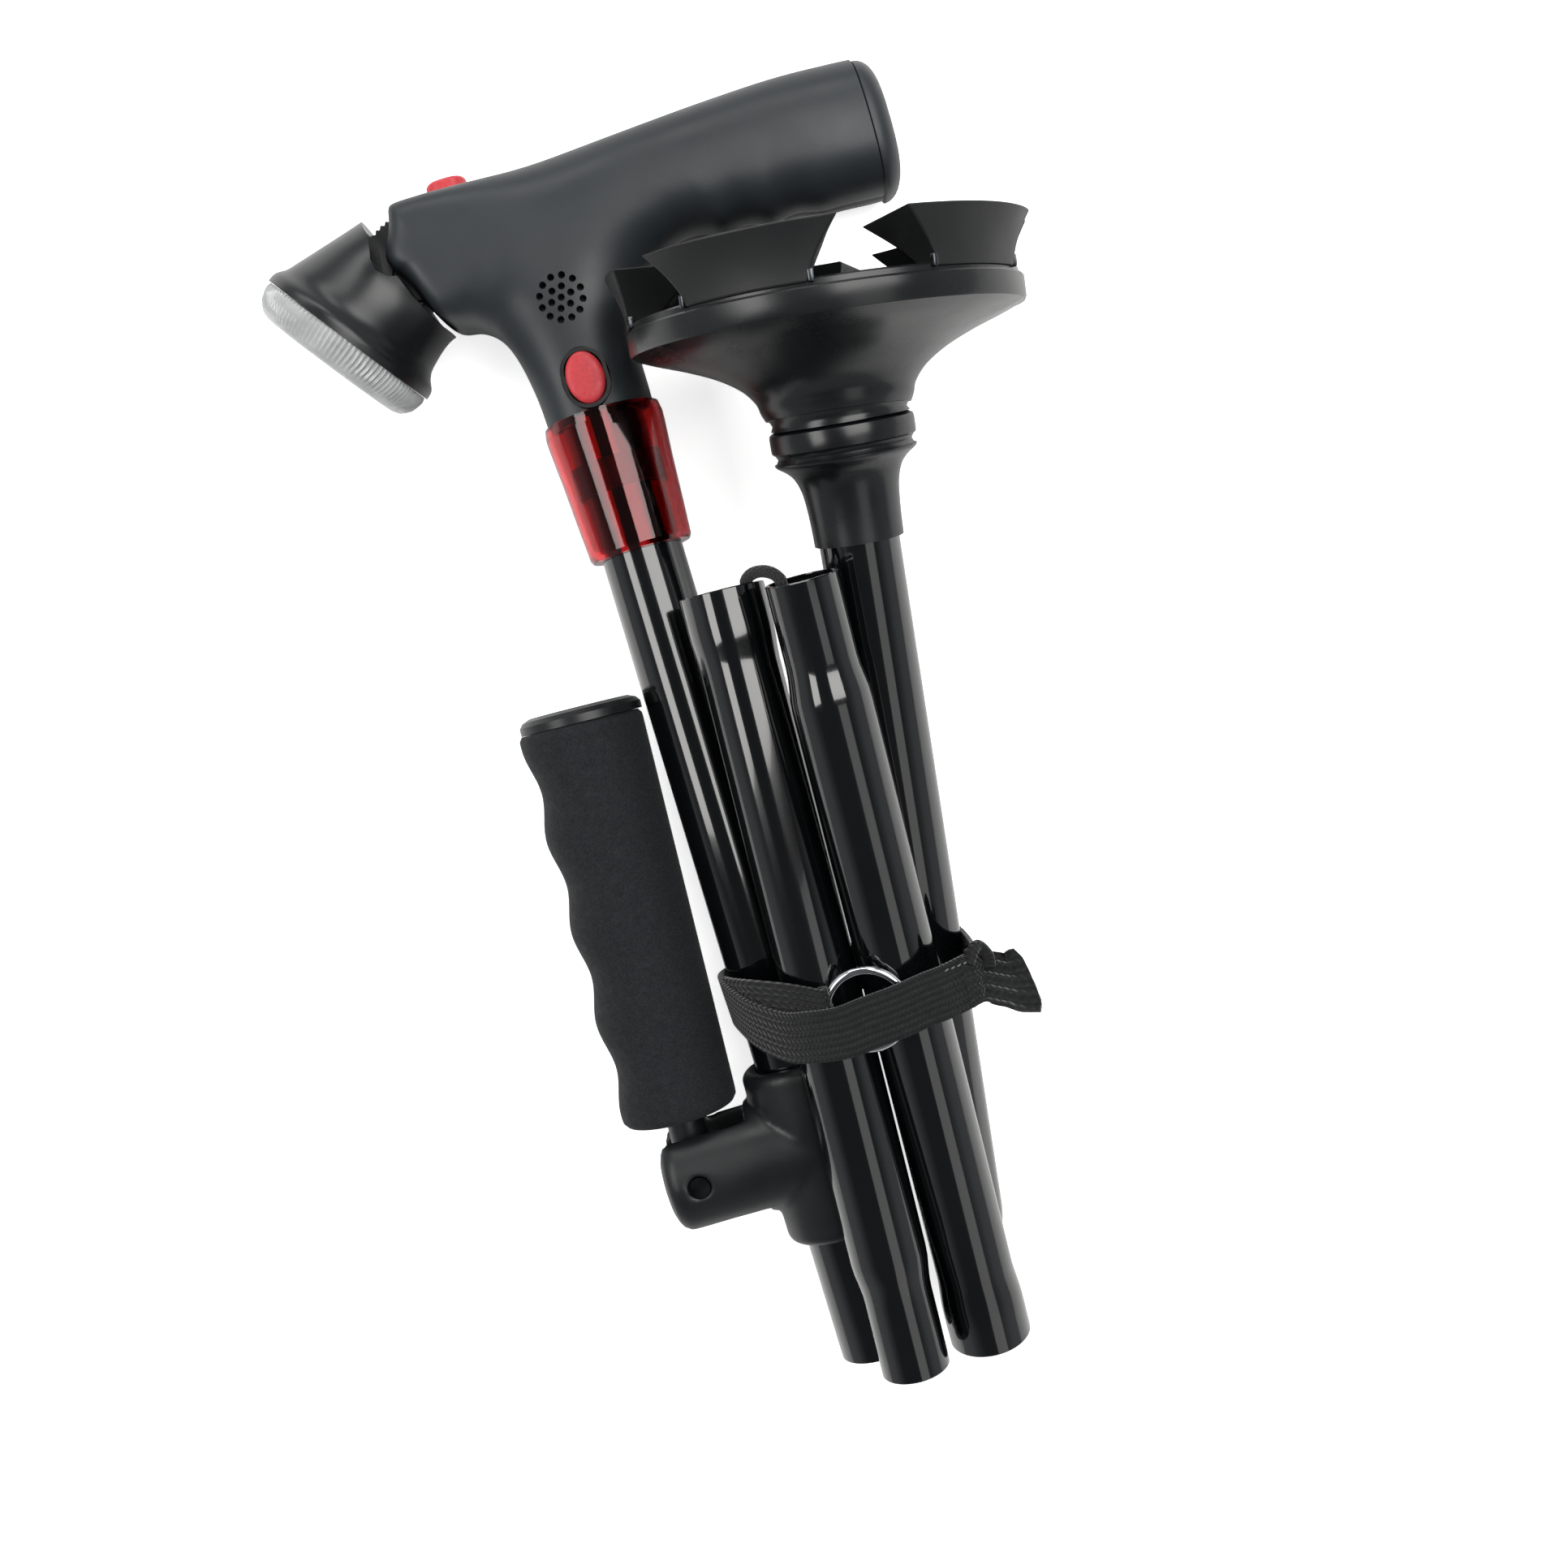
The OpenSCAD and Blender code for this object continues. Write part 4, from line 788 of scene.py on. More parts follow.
        return skinned("battery_cap_cover", 96, steps + 2, shape, 40)

    def alarm(self):
        rings = [(1, 0), (1, 1.5), (0.985, 1.9), (0.93, 2.25), (0.8, 2.5), (0.55, 2.6), (0.2, 2.62)]
        return oval_pad("alarm_pad", 13.2, 9.8, rings, shifted(0, ALARM_UP, 13.0) @ about("Z", 90), True)

    def light(self):
        rings = [(1, 0), (1, 7.2), (0.98, 7.9), (0.9, 8.4), (0.7, 8.7), (0.3, 8.8)]
        return oval_pad("light_pad", 10.6, 8.0, rings, shifted(LIGHT_X, 316.2, 0) @ about("X", -90))


# Lamp


class CANE_OT_lamp(bpy.types.Operator):
    """Model the lamp head's cup, its knuckle with its comb, its dish and its ribbed lens"""
    bl_idname = "cane.lamp"
    bl_label = "Lamp head"
    bl_options = {"REGISTER", "UNDO"}

    def execute(self, context):
        black = moulded("lamp black", ((0.0046, 0.0058, 0.0068), (0.0066, 0.008, 0.0094)), (0.26, 0.36), 1500,
                        0.1, 0.45)
        finished(self.cup(), LAMP, "black_plastic", black, "lamp_shell")
        finished(self.knuckle(), LAMP, "black_plastic", black)
        mirror = bright_metal("lamp mirror", shades("#b9bcbf", "#d4d6d8"), (0.12, 0.2))
        dish = [(5.0, -13.2), (10.5, -9.6), (15.8, -5.0), (20.6, -0.3), (21.0, -0.3), (16.3, -5.4),
                (11.0, -10.2), (5.0, -13.8), (5.0, -13.2)]
        finished(turned("lamp_dish", dish, AT_LAMP, 72, 30), LAMP, "lens", mirror, "lamp_reflector")
        finished(self.comb(), LAMP, "black_plastic", black)
        lens = self.lens(context.scene.cane_sizes.lens_ribs)
        finished(lens, LAMP, "lens", clear_lens("clear lens"), "lamp_lens")
        return {"FINISHED"}

    def cup(self):
        """A flared bell, wider below its axis, cut back along the handle's nose."""
        rim, back = 24.0, 1.2
        depths = (0, 0.1, 0.2, 0.32, 0.62, 0.84, back)
        upper = smooth_line(zip(depths, (1, 0.985, 0.915, 0.868, 0.758, 0.674, 0.54)), 4)
        lower = smooth_line(zip(depths, (1, 0.985, 0.9, 0.858, 0.85, 0.95, 1.16)), 4)
        inside = [(0.56, 0.01), (0.56, 0.64), (0.36, 0.72), (0.2, 0.8), (0.1, 0.88), (0, 0.905)]
        rows = [(d, r, r) for d, r in inside] + [(u[0], u[1], v[1]) for u, v in zip(upper, lower)]
        rows.append((back, 0.01, 0.01))
        n = len(rows) - 1

        def shape(u, v):
            d, up, down = rows[int(round(v * n))]
            a = ROUND * u
            reach, off = (up + down) / 2 * rim, (up - down) / 2 * rim
            flat = reach * (1 - 0.16 * max(0.0, d - 0.3) / 0.7) if abs(off) > 1e-6 else reach
            return lay(LAMP_RIM - LAMP_DIR * CUP_DEEP * d - LAMP_SIDE * (reach * math.cos(a) + off)
                       + Vector((0, 0, flat * math.sin(a))))

        cup = skinned("lamp_cup", 96, n, shape, 32)
        edge = [(-44.6, 321.5), (-43.1, 316.6), (-41.9, 313.2), (-42.1, 309.4), (-42.5, 306.4),
                (-41.9, 303.3), (-39.4, 301.0), (-37.3, 300.6), (-35.4, 295.3), (-32.2, 288.9),
                (-30.0, 286.6), (-26.0, 284.0), (-10.0, 280.0), (-10.0, 335.0), (-44.6, 335.0)]
        cut_with(cup, settle(slab("nose_room", edge, 30), WORKING))
        return settle(cup, None, 32)

    def knuckle(self):
        """A drum on the pivot with an arm to the cup."""
        rings = [(0.3, -6), (6.9, -6), (7.5, -5.4), (7.5, 5.4), (6.9, 6), (0.3, 6)]
        knuckle = turned("lamp_knuckle", rings, Matrix.Translation(LAMP_AT), 48, closed=False)
        arm = block(LIE @ Matrix.Translation(LAMP_AT) @ about("Z", LAMP_TILT) @ shifted(-4.2, 0, 0)
                    @ Matrix.Diagonal((8.4, 10, 10.8, 1)))
        softened(arm, 0.6)
        pick(knuckle, arm)
        bpy.ops.object.join()
        return knuckle

    def comb(self):
        """Fine teeth round the pivot, in the handle's nose."""
        teeth = [polar(16.1 if k % 2 else 15.3, 100 + 3 * k) for k in range(27)]
        comb = settle(slab("lamp_comb", [polar(5.0, 196), polar(5.0, 104)] + teeth, 4.9), WORKING)
        softened(comb, 0.25, 2, 30)
        return comb

    def lens(self, ribs):
        """Lens with a ribbed side wall and a shallow crown of rings."""
        rim, rib = 23.6, 0.34
        outer = [(0.985, 0.12), (0.985, 1.4), (0.975, 2.8), (0.95, 4.8), (0.92, 6.2), (0.875, 7.3),
                 (0.8, 7.9), (0.7, 8.0), (0.6, 7.8), (0.45, 8.0), (0.3, 7.85), (0.15, 8.0), (0.001, 7.95)]
        under = [(0.001, 4.5), (0.5, 4.5), (0.78, 4.2), (0.86, 1.6), (0.87, 0.12), (0.965, 0.12)]
        line = outer + under
        n = len(line) - 1

        def shape(u, v):
            r, h = line[int(round(v * n))]
            a = ROUND * u
            reach = r * rim + (rib * math.cos(ribs * a) if 0.9 < r and 1.0 < h < 6 else 0)
            return lay(AT_LAMP @ Vector((reach * math.cos(a), reach * math.sin(a), h)))

        return skinned("lamp_lens_ring", ribs * 6, n, shape, 40)


# Cord


class CANE_OT_cord(bpy.types.Operator):
    """Model the elastic cord that runs through all four tubes"""
    bl_idname = "cane.cord"
    bl_label = "Elastic cord"
    bl_options = {"REGISTER", "UNDO"}

    def execute(self, context):
        radius = context.scene.cane_sizes.cord_width / 2 / MM
        # The darker tone is the braid's painted shade, the lighter one its painted highlight.
        sleeve = braid("cord sleeve", shades("#050607", "#121416"))
        bends = {}
        for name, leaves, enters, rise in (("12", (LOW_1, DIR_1, 7.4), (LOW_2, DIR_2, 6.2), 2.6),
                                           ("23", (TOP_2, -DIR_2, 8.1), (TOP_3, -DIR_3, 6.2), 3.0),
                                           ("34", (LOW_3, DIR_3, 8.1), (LOW_4, DIR_4, 6.2), 2.6)):
            points = bends[name] = self.arch(*leaves, *enters, rise)
            bend = rope("cord_bend_%s_sleeve" % name, points, radius)
            bending(bend, "fold_" + name, points[1], points[-2], sleeve)
            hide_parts("cord_bend_" + name)
        top_end, low_end, gap = Vector((0, 236, 0)), LOW_4 + 200 * DIR_4, 0.4
        for k, body, a, b in ((1, TOP, top_end, bends["12"][0]),
                              (2, "second_tube", bends["12"][-1], bends["23"][0]),
                              (3, "third_tube", bends["23"][-1], bends["34"][0]),
                              (4, "last_tube", bends["34"][-1], low_end)):
            step = (b - a).normalized() * gap
            path = [a + step + (b - a - 2 * step) * t for t in (0, 0.25, 0.5, 0.75, 1)]
            finished(rope("cord_run_%d" % k, path, radius), body, "cord", sleeve, "cord_%d" % k)
        return {"FINISHED"}

    def arch(self, end_a, in_a, room_a, end_b, in_b, room_b, rise):
        """Path over two tube mouths that hugs the walls facing each other."""
        out = -(in_a + in_b).normalized()
        over = end_b - end_a
        over = (over - out * over.dot(out)).normalized()
        a, b = end_a + over * room_a, end_b - over * room_b
        middle, half = (a + b) / 2, (b - a) / 2
        crown = [middle - half * c + out * rise * s for c, s in map(cos_sin, (20, 45, 70, 90, 110, 135, 160))]
        return [a + in_a * 14, a + in_a * 6, a] + crown + [b, b + in_b * 6, b + in_b * 14]


# Second handle


class CANE_OT_second_handle(bpy.types.Operator):
    """Model the second handle's foam with its finger waves, and its bracket"""
    bl_idname = "cane.second_handle"
    bl_label = "Second handle"
    bl_options = {"REGISTER", "UNDO"}

    def execute(self, context):
        grip = self.foam(context.scene.cane_sizes.finger_depth / MM)
        # The foam's darker tone is the pores' painted shade.
        finished(grip, GRIP, "foam", foam_skin("grip foam", around(context.scene.cane_shades.foam, 0.7, 1.5)),
                 "foam_grip")
        black = moulded("bracket black", ((0.0048, 0.0058, 0.0068), (0.0068, 0.008, 0.0092)), (0.3, 0.42),
                        1500, 0.15, 0.4)
        finished(self.bracket(), TOP, "black_plastic", black, "grip_bracket")
        repaint(["grip_end_cap", "grip_core"], black)
        return {"FINISHED"}

    def foam(self, depth):
        """A sleeve that widens to its end, with finger waves on one side and rounded edges."""
        low, long, radius, core, off = 17.3, 106.2, 15.5, 5.1, -1.8
        fingers, steps = 4, 96
        edge_wide, edge_deep = 1.6, 0.9

        def shape(u, v):
            k = v * (steps + 4)
            t = min(max((k - 2) / steps, 0), 1)
            a = ROUND * u
            finger_side = max(0.0, math.cos(a - math.pi)) ** 1.4
            wave = 0.5 - 0.5 * math.cos(ROUND * fingers * min(max((t - 0.03) / 0.94, 0), 1))
            r = radius + 1.0 * t - depth * wave * finger_side
            r -= edge_deep * max(0.0, 1 - min(t, 1 - t) * long / edge_wide) ** 2
            if k < 0.5 or k > steps + 3.5:
                r = core
            return lay(ON_GRIP @ Vector((off + r * math.cos(a), r * math.sin(a), low + long * t)))

        return skinned("foam_sleeve", 72, steps + 4, shape, 50)

    def bracket(self):
        """The bracket with its sleeve and fork run into each other."""
        bracket = copy_of("grip_bracket", "bracket_body")
        applied(bracket, "REMESH", mode="VOXEL", voxel_size=0.7 * MM)
        applied(bracket, "SMOOTH", factor=0.5, iterations=12)
        return settle(bracket, None, 50)


# Base


class CANE_OT_base(bpy.types.Operator):
    """Model the base's boot, neck, cone, feet and clip pegs"""
    bl_idname = "cane.base"
    bl_label = "Base"
    bl_options = {"REGISTER", "UNDO"}

    def execute(self, context):
        rubber = moulded("boot rubber", ((0.0042, 0.0052, 0.006), (0.0062, 0.0074, 0.0084)), (0.22, 0.32),
                         1600, 0.1, 0.45)
        sole = moulded("foot rubber", ((0.0062, 0.0068, 0.0074), (0.009, 0.0098, 0.0104)), (0.42, 0.56),
                       1200, 0.2, 0.35)
        steel = bright_metal("clip steel", shades("#3c3f42", "#55595c"), (0.22, 0.34))
        finished(self.boot(), "last_tube", "rubber", rubber, "base_boot")
        ring = [(13.2, 237.2), (17.0, 237.2), (17.5, 237.6), (17.6, 238.4), (17.6, 241.2), (17.4, 242.0),
                (16.4, 242.6), (13.2, 242.6), (13.2, 237.2)]
        finished(turned("neck_band", ring, IN_BASE, 80, 32), self.body_of("neck_ring"), "rubber", rubber,
                 "neck_ring")
        neck = [(9.8, 236.5), (11.4, 236.5), (12.9, 237.6), (12.9, 242.2), (11.4, 243.2), (9.8, 243.2),
                (9.8, 236.5)]
        finished(turned("neck_sleeve", neck, IN_BASE, 80, 40), self.body_of("flex_neck"), "rubber", rubber,
                 "flex_neck")
        for name, low, high, joint, top_place in (("lower", 235.05, 237.15, "base_tilt", IN_BASE),
                                                  ("upper", 242.85, 244.95, "base_rock", ON_BALL)):
            bellows = self.bellows("neck_bellows_" + name, low, high, top_place)
            start, end = (IN_BASE @ Vector((0, 0, up)) for up in (low, high))
            bending(bellows, joint, start, end, rubber)
        finished(self.cone(), BASE, "rubber", rubber, "base_cone")
        foot = self.foot()
        for k in range(FEET):
            copy = copied(foot, "rubber_foot_%d" % (k + 1), self.round_base(k))
            finished(copy, BASE, "rubber", sole, "foot_%d" % (k + 1))
        bpy.data.objects.remove(foot)
        finished(self.pegs(), BASE, "steel", steel, "foot_clips")
        return {"FINISHED"}

    def body_of(self, node):
        for body, members in frame["record"]["behaviour"]["bodies"].items():
            if node in members:
                return body
        raise RuntimeError("no body holds " + node)

    def round_base(self, k, side=0):
        """Place of what stands at one foot, turned to its side."""
        return ON_BALL @ about("Z", 360 / FEET * k + FOOT_TURN + side)

    def boot(self):
        """A cap that flares from the last tube to the neck."""
        low, tall, start, full, bore = 214, 21, 11.0, 17.6, 10.0
        shares = [(0, 0), (0.03, 0.3), (0.12, 0.6), (0.3, 0.78), (0.55, 0.88), (0.9, 0.96), (0.96, 1)]
        flare = smooth_line([(start + a * (full - start), low + b * tall) for a, b in shares])
        inside = [(3.95, 235), (3.95, 232.1), (bore, 232.1), (bore, low)]
        return turned("boot", [(bore, low)] + [tuple(p) for p in flare] + inside, IN_BASE, 80, 32)

    def bellows(self, name, low, high, top_place):
        """A soft fold of the neck between two rings that may lean on each other."""
        rows = [(13.3, 0), (16.9, 0), (16.6, 0.2), (16.3, 0.5), (16.6, 0.8), (16.9, 1), (13.3, 1), (13.3, 0)]
        n = len(rows) - 1

        def shape(u, v):
            r, t = rows[int(round(v * n))]
            a = ROUND * u
            p = Vector((r * math.cos(a), r * math.sin(a), low + t * (high - low)))
            return lay((IN_BASE @ p).lerp(top_place @ p, t))

        return skinned(name, 80, n, shape, 40)

    def cone(self):
        """A bell with a lipped rim round the sole plate."""
        top, tall, small, rim, bore = 245.0, 19.0, 17.6, 47.2, 10.5
        shares = [(0, 0), (0.03, 0.1), (0.06, 0.24), (0.16, 0.42), (0.34, 0.6), (0.58, 0.76), (0.84, 0.9),
                  (1, 1)]
        flare = smooth_line([(small + a * (rim - small), top + b * tall) for a, b in shares])
        lip = [(-0.35, -0.3), (0, 0.4), (0, 4.9), (-0.3, 5.3), (-1.1, 5.4), (-1.2, 5.5), (-1.2, 6.6),
               (-1.5, 7), (-2.4, 7), (-2.4, 2.2)]
        rings = [(bore, 246), (16.4, 245.4)] + [tuple(p) for p in flare[:-1]]
        rings += [(rim + a, top + tall + b) for a, b in lip] + [(30, 259), (bore, 254), (bore, 246)]
        return turned("bell_cone", rings, ON_BALL, 120, 30)

    def foot(self):
        """A block drawn out into a foot with hollow flanks and a flared sole, on the base's own X."""
        wide, low, tall = 50.6, 270.12, 12.4
        foot = block(Matrix.Scale(1 / MM, 4))
        pick(foot)
        bpy.ops.object.mode_set(mode="EDIT")
        bpy.ops.mesh.select_all(action="SELECT")
        bpy.ops.mesh.subdivide(number_cuts=11)
        bpy.ops.object.mode_set(mode="OBJECT")
        for corner in foot.data.vertices:
            t = corner.co.z + 0.5
            outer = wide * (0.925 + 0.07 * t ** 1.8)
            inner = wide * (0.8 - 0.28 * t ** 1.3)
            a = 2 * corner.co.y * math.radians(18.0 + 9.5 * t ** 1.4)
            r = inner + (outer - inner) * (corner.co.x + 0.5)
            corner.co = Vector((r * math.cos(a), r * math.sin(a), low + tall * t)) * MM
        settle(foot)
        softened(foot, 0.7, 2, 38)
        return foot

    def pegs(self):
        """Two clip pegs at each foot's heel: one is modelled and copied round the rim."""
        peg = block(shifted(46.3, 0, 271.4) @ Matrix.Diagonal((1.7, 1.3, 2.8, 1)))
        softened(peg, 0.4, 2)
        pegs = [copied(peg, "clip_pegs", self.round_base(k, side)) for k in range(FEET) for side in (-19, 19)]
        bpy.data.objects.remove(peg)
        pick(*pegs)
        bpy.ops.object.join()
        return settle(pegs[0])


# Band


def hull_line(grow, height):
    """The bundle's tight loop at one height, anticlockwise seen from above its head, as (x, z)."""
    tubes = ((LOW_1, DIR_1, FIRST_R), (LOW_2, DIR_2, TUBE_R), (LOW_3, DIR_3, TUBE_R), (LOW_4, DIR_4, TUBE_R))
    rounds = []
    for low, way, r in tubes:
        p = low + way * ((height - low.y) / way.y)
        rounds += [(p.x + (r + grow) * math.cos(a), p.z + (r + grow) * math.sin(a))
                   for a in np.linspace(0, ROUND, 90, endpoint=False)]
    rounds = sorted(set(rounds))
    halves = []
    for run in (rounds, rounds[::-1]):
        chain = []
        for p in run:
            while len(chain) > 1 and ((chain[-1][0] - chain[-2][0]) * (p[1] - chain[-2][1])
                                      - (chain[-1][1] - chain[-2][1]) * (p[0] - chain[-2][0])) <= 0:
                chain.pop()
            chain.append(p)
        halves += chain[:-1]
    return halves


class CANE_OT_band(bpy.types.Operator):
    """Model the woven band, its ring, its keeper strand and its pull tab"""
    bl_idname = "cane.band"
    bl_label = "Band"
    bl_options = {"REGISTER", "UNDO"}

    def execute(self, context):
        wide = context.scene.cane_sizes.band_width / MM
        # The dark end carries the weave's painted shade, the light end its painted highlight.
        tones = around(context.scene.cane_shades.band, 0.45, 1.9)
        thick, pick_long, least = 1.0, 1.5, 10.01
        loop, keeper, tab = (smooth_line(points, 5) for points in (self.loop(), self.keeper(), self.tab()))
        for name, node, middles, widths, ripple in (
                ("band_loop", "strap_band", loop, [wide] * len(loop), 0.0),
                ("keeper_strand", "ring_keeper", keeper, [wide * 0.94] * len(keeper), 0.0),
                ("pull_tab", "strap_tab", tab, self.tab_widths(len(tab) - 1), 0.4)):
            long = sum(np.linalg.norm(b - a) for a, b in zip(middles, middles[1:]))
            strip = self.ribbon(name, middles, widths, ripple)
            applied(strip, "SOLIDIFY", thickness=thick * MM, offset=0)
            settle(strip, None, 50)
            finished(strip, TOP, "band", webbing(name + " weave", tones, 8, long / pick_long), node)
            if name == "band_loop":
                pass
            else:
                flat = (max(sum(widths) / len(widths), least) * MM, max(long, least) * MM)
        plated = bright_metal("ring chrome", shades("#c6c9cc", "#e6e8ea"), (0.05, 0.12))
        finished(self.ring(), TOP, "chrome_ring", plated, "strap_ring")
        roll = [(49.6, 99.4, 36.6), (51.4, 102.0, 36.0), (53.0, 102.6, 35.0), (54.6, 99.4, 33.8),
                (54.2, 96.8, 33.6)]
        finished(rope("tab_roll", roll, 1.5), TOP, "band", webbing("roll weave", tones, 3, 12))
        self.stitches()
        return {"FINISHED"}

    def ribbon(self, name, middles, widths, ripple):
        """A flat ribbon that faces away from the bundle's middle; a rippled one is pleated and cut aslant."""
        n = len(middles) - 1
        bundle_x, bundle_z = 22.0, 12.0

        def shape(u, v):
            i = int(round(v * n))
            way = middles[min(i + 1, n)] - middles[max(i - 1, 0)]
            out = middles[i] - np.array((bundle_x, middles[i][1], bundle_z))
            out = out - way * out.dot(way) / way.dot(way)
            out = out / np.linalg.norm(out)
            across = np.cross(out, way)
            across = across / np.linalg.norm(across)
            pleat = ripple * math.cos(u * 8 * math.pi) * min(1.0, 2.0 * v)
            slant = 0
            if ripple:
                slant = (0.5 - u) * 4.2 * max(0.0, v - 0.35) / 0.65
                slant -= 1.6 * max(0.0, v - 0.7) / 0.3 * (2 * u - 1) ** 4
            spot = middles[i] + across * widths[i] * (u - 0.5) + out * pleat
            return lay(spot + way / np.linalg.norm(way) * slant)

        return skinned(name, 24 if ripple else 12, n, shape, wrap=False)

    def loop(self):
        """Once round the bundle: over the ring, round the left side, behind, and up round the right side."""
        front = [(49.3, 95.6, 36.2), (42.8, 95.0, 39.2), (37.3, 94.7, 40.2), (29.9, 93.7, 40.2),
                 (22.6, 93.1, 39.8), (16.1, 92.4, 39.2), (9.1, 92.9, 37.3), (2.1, 93.8, 33.0),
                 (-5.4, 97.2, 24.0), (-9.6, 100.0, 15.0), (-12.2, 101.8, 5.0)]
        ring = [np.array(q) for q in hull_line(0.9, 102)]
        start = min(range(len(ring)), key=lambda i: np.hypot(ring[i][0] + 12.2, ring[i][1] - 2.0))
        ring = ring[start:] + ring[:start]
        if ring[8][1] > ring[0][1]:
            ring = [ring[0]] + ring[:0:-1]
        back = []
        for x, z in ring[6::9]:
            if z > 21 and x > 40:
                break
            back.append((x, 102.0 - 6.4 * max(0.0, min(1.0, (x + 10) / 55)), z))
        return front + back + [(52.2, 95.6, 23.0), (51.4, 95.7, 30.0), (49.4, 96.0, 35.0)]

    def keeper(self):
        """From the left side to the ring, with its end turned round the wire."""
        turn = [(13.0 + 1.75 * c, 97.4, 35.0 + 1.75 * s) for c, s in map(cos_sin, (100, 50, 0, -50, -100))]
        return [(-10.9, 102.4, 9.0), (-7.6, 102.4, 16.6), (-3.4, 102.2, 23.6), (4.0, 100.8, 31.6),
                (9.0, 98.9, 34.6)] + turn

    def tab(self):
        return [(47.4, 95.4, 37.6), (50.0, 95.4, 36.2), (52.3, 94.9, 34.0), (55.5, 93.2, 33.6),
                (59.0, 91.6, 34.0), (63.4, 91.0, 34.8)]

    def tab_widths(self, n):
        """The tab draws in behind its stitches and widens to its end."""
        start, waist, flare = 12.8, 0.7, 3.2
        return [start - waist * math.sin(math.pi * min(i / n * 2.0, 1)) + flare * max(0.0, i / n - 0.4) / 0.6
                for i in range(n + 1)]

    def ring(self):
        centre, reach, wire = Vector((22.9, 95.3, 35.3)), 9.9, 1.05
        (c, s), (c_up, s_up) = cos_sin(7.7), cos_sin(5)
        right, up = Vector((c, 0, s)), Vector((0, c_up, s_up))
        out = right.cross(up).normalized()

        def shape(u, v):
            a, b = ROUND * v, ROUND * u
            way = right * math.cos(a) + up * math.sin(a)
            return lay(centre + way * (reach + wire * math.cos(b)) + out * wire * math.sin(b))

        return skinned("band_ring", 24, 96, shape, 80)

    def stitches(self):
        """A short row of pale stitches across the tab's root."""
        thread = moulded("pale thread", shades("#55585a", "#8b8d8f"), (0.6, 0.8), 900, 0.2)
        for k in range(4):
            x, z = 43.5 + 1.6 * k, 39.6 - 0.5 * k - 0.06 * k * k
            points = [(x, 99.9, z), (x + 0.35, 100.0, z + 0.14), (x + 0.7, 100.1, z - 0.16)]
            finished(rope("stitch_%d" % (k + 1), points, 0.2, 8, 3), TOP, "band", thread)


# Finishes of the frame's own solids: nodes, name, two tones, gloss, and for some a grain and its strength
PLASTICS = (
    (["alarm_bezel"], "bezel black", "#060707", "#0c0d0d", (0.26, 0.36), 1500, 0.12),
    (["stem_bush", "alarm_switch", "light_switch"], "inner black", "#1c1d1e", "#292a2c", (0.45, 0.6)),
    (["battery_cells"], "cell wrap", "#24552e", "#37763f", (0.25, 0.35), 800, 0.05),
    (["circuit_board"], "board green", "#17482d", "#246840", (0.3, 0.45), 900, 0.1),
    (["siren_disc"], "siren black", "#060606", "#0c0c0d", (0.5, 0.65)),
    (["flasher_ring"], "flasher strip", "#0b0c0d", "#151617", (0.3, 0.45)),
    (["lamp_board"], "diode carrier", "#cfcab8", "#e8e4d6", (0.35, 0.5)),
    (["sole_plate"], "plate black", "#101112", "#191a1b", (0.5, 0.65)),
)
METALS = (
    (["grip_pivot_pin", "lamp_pivot_pin"], "black pin", "#1a1b1d", "#2c2d30", (0.3, 0.42)),
    (["handle_screws", "bracket_screws", "base_screws", "ball_stud", "battery_contacts"], "turned steel",
     "#7d8084", "#b4b7ba", (0.25, 0.4)),
    (["cord_anchor_top", "cord_anchor_low"], "anchor zinc", "#6f7275", "#989b9e", (0.35, 0.5)),
)


class CANE_OT_finishes(bpy.types.Operator):
    """Give the frame's own solids their finishes, and draw the tubes that fold"""
    bl_idname = "cane.finishes"
    bl_label = "Finishes"
    bl_options = {"REGISTER", "UNDO"}

    def execute(self, context):
        coat = enamel("tube enamel", around(context.scene.cane_shades.paint, 0.7, 1.4))
        repaint(["tube_1"], coat)
        for name, body, place, long, belled in (
                ("tube_2", "second_tube", at_place(LOW_2, DIR_2), TUBE_LEN, True),
                ("tube_3", "third_tube", at_place(TOP_3, -DIR_3), TUBE_LEN, True),
                ("tube_4", "last_tube", IN_BASE, LAST_LEN, False)):
            finished(self.drawn_tube(name + "_drawn", place, long, belled), body, "tube_paint", coat, name)
        repaint(["flasher_collar"], clear_red("clear red collar"))
        for nodes, name, dark, light, *feel in PLASTICS:
            repaint(nodes, moulded(name, shades(dark, light), *feel))
        for nodes, name, dark, light, gloss in METALS:
            repaint(nodes, bright_metal(name, shades(dark, light), gloss))
        return {"FINISHED"}

    def drawn_tube(self, name, place, long, belled):
        """Tube with a swaged spigot at its foot and, where it is a socket too, a flared mouth."""
        wall, lip_wall, foot_lip, mouth_lip = 0.9, 0.54, 8.62, 10.42
        outer = [(foot_lip, 0), (8.8, 0.25), (8.8, 12), (8.8, 20), (8.95, 22.6), (9.35, 25.6), (9.75, 28.2),
                 (TUBE_R, 31), (TUBE_R, 60), (TUBE_R, long - 60)]
        mouth = [(TUBE_R, 19), (10.05, 16.4), (10.32, 13.6), (10.53, 11), (10.6, 8), (10.6, 0.25),
                 (mouth_lip, 0)]
        outer += [(r, long - down) for r, down in (mouth if belled else [(TUBE_R, 0)])]
        inner = [(r - (lip_wall if r in (foot_lip, mouth_lip) else wall), h) for r, h in outer[::-1]]
        return turned(name, outer + inner + outer[:1], place, 96, 30)


# Stage


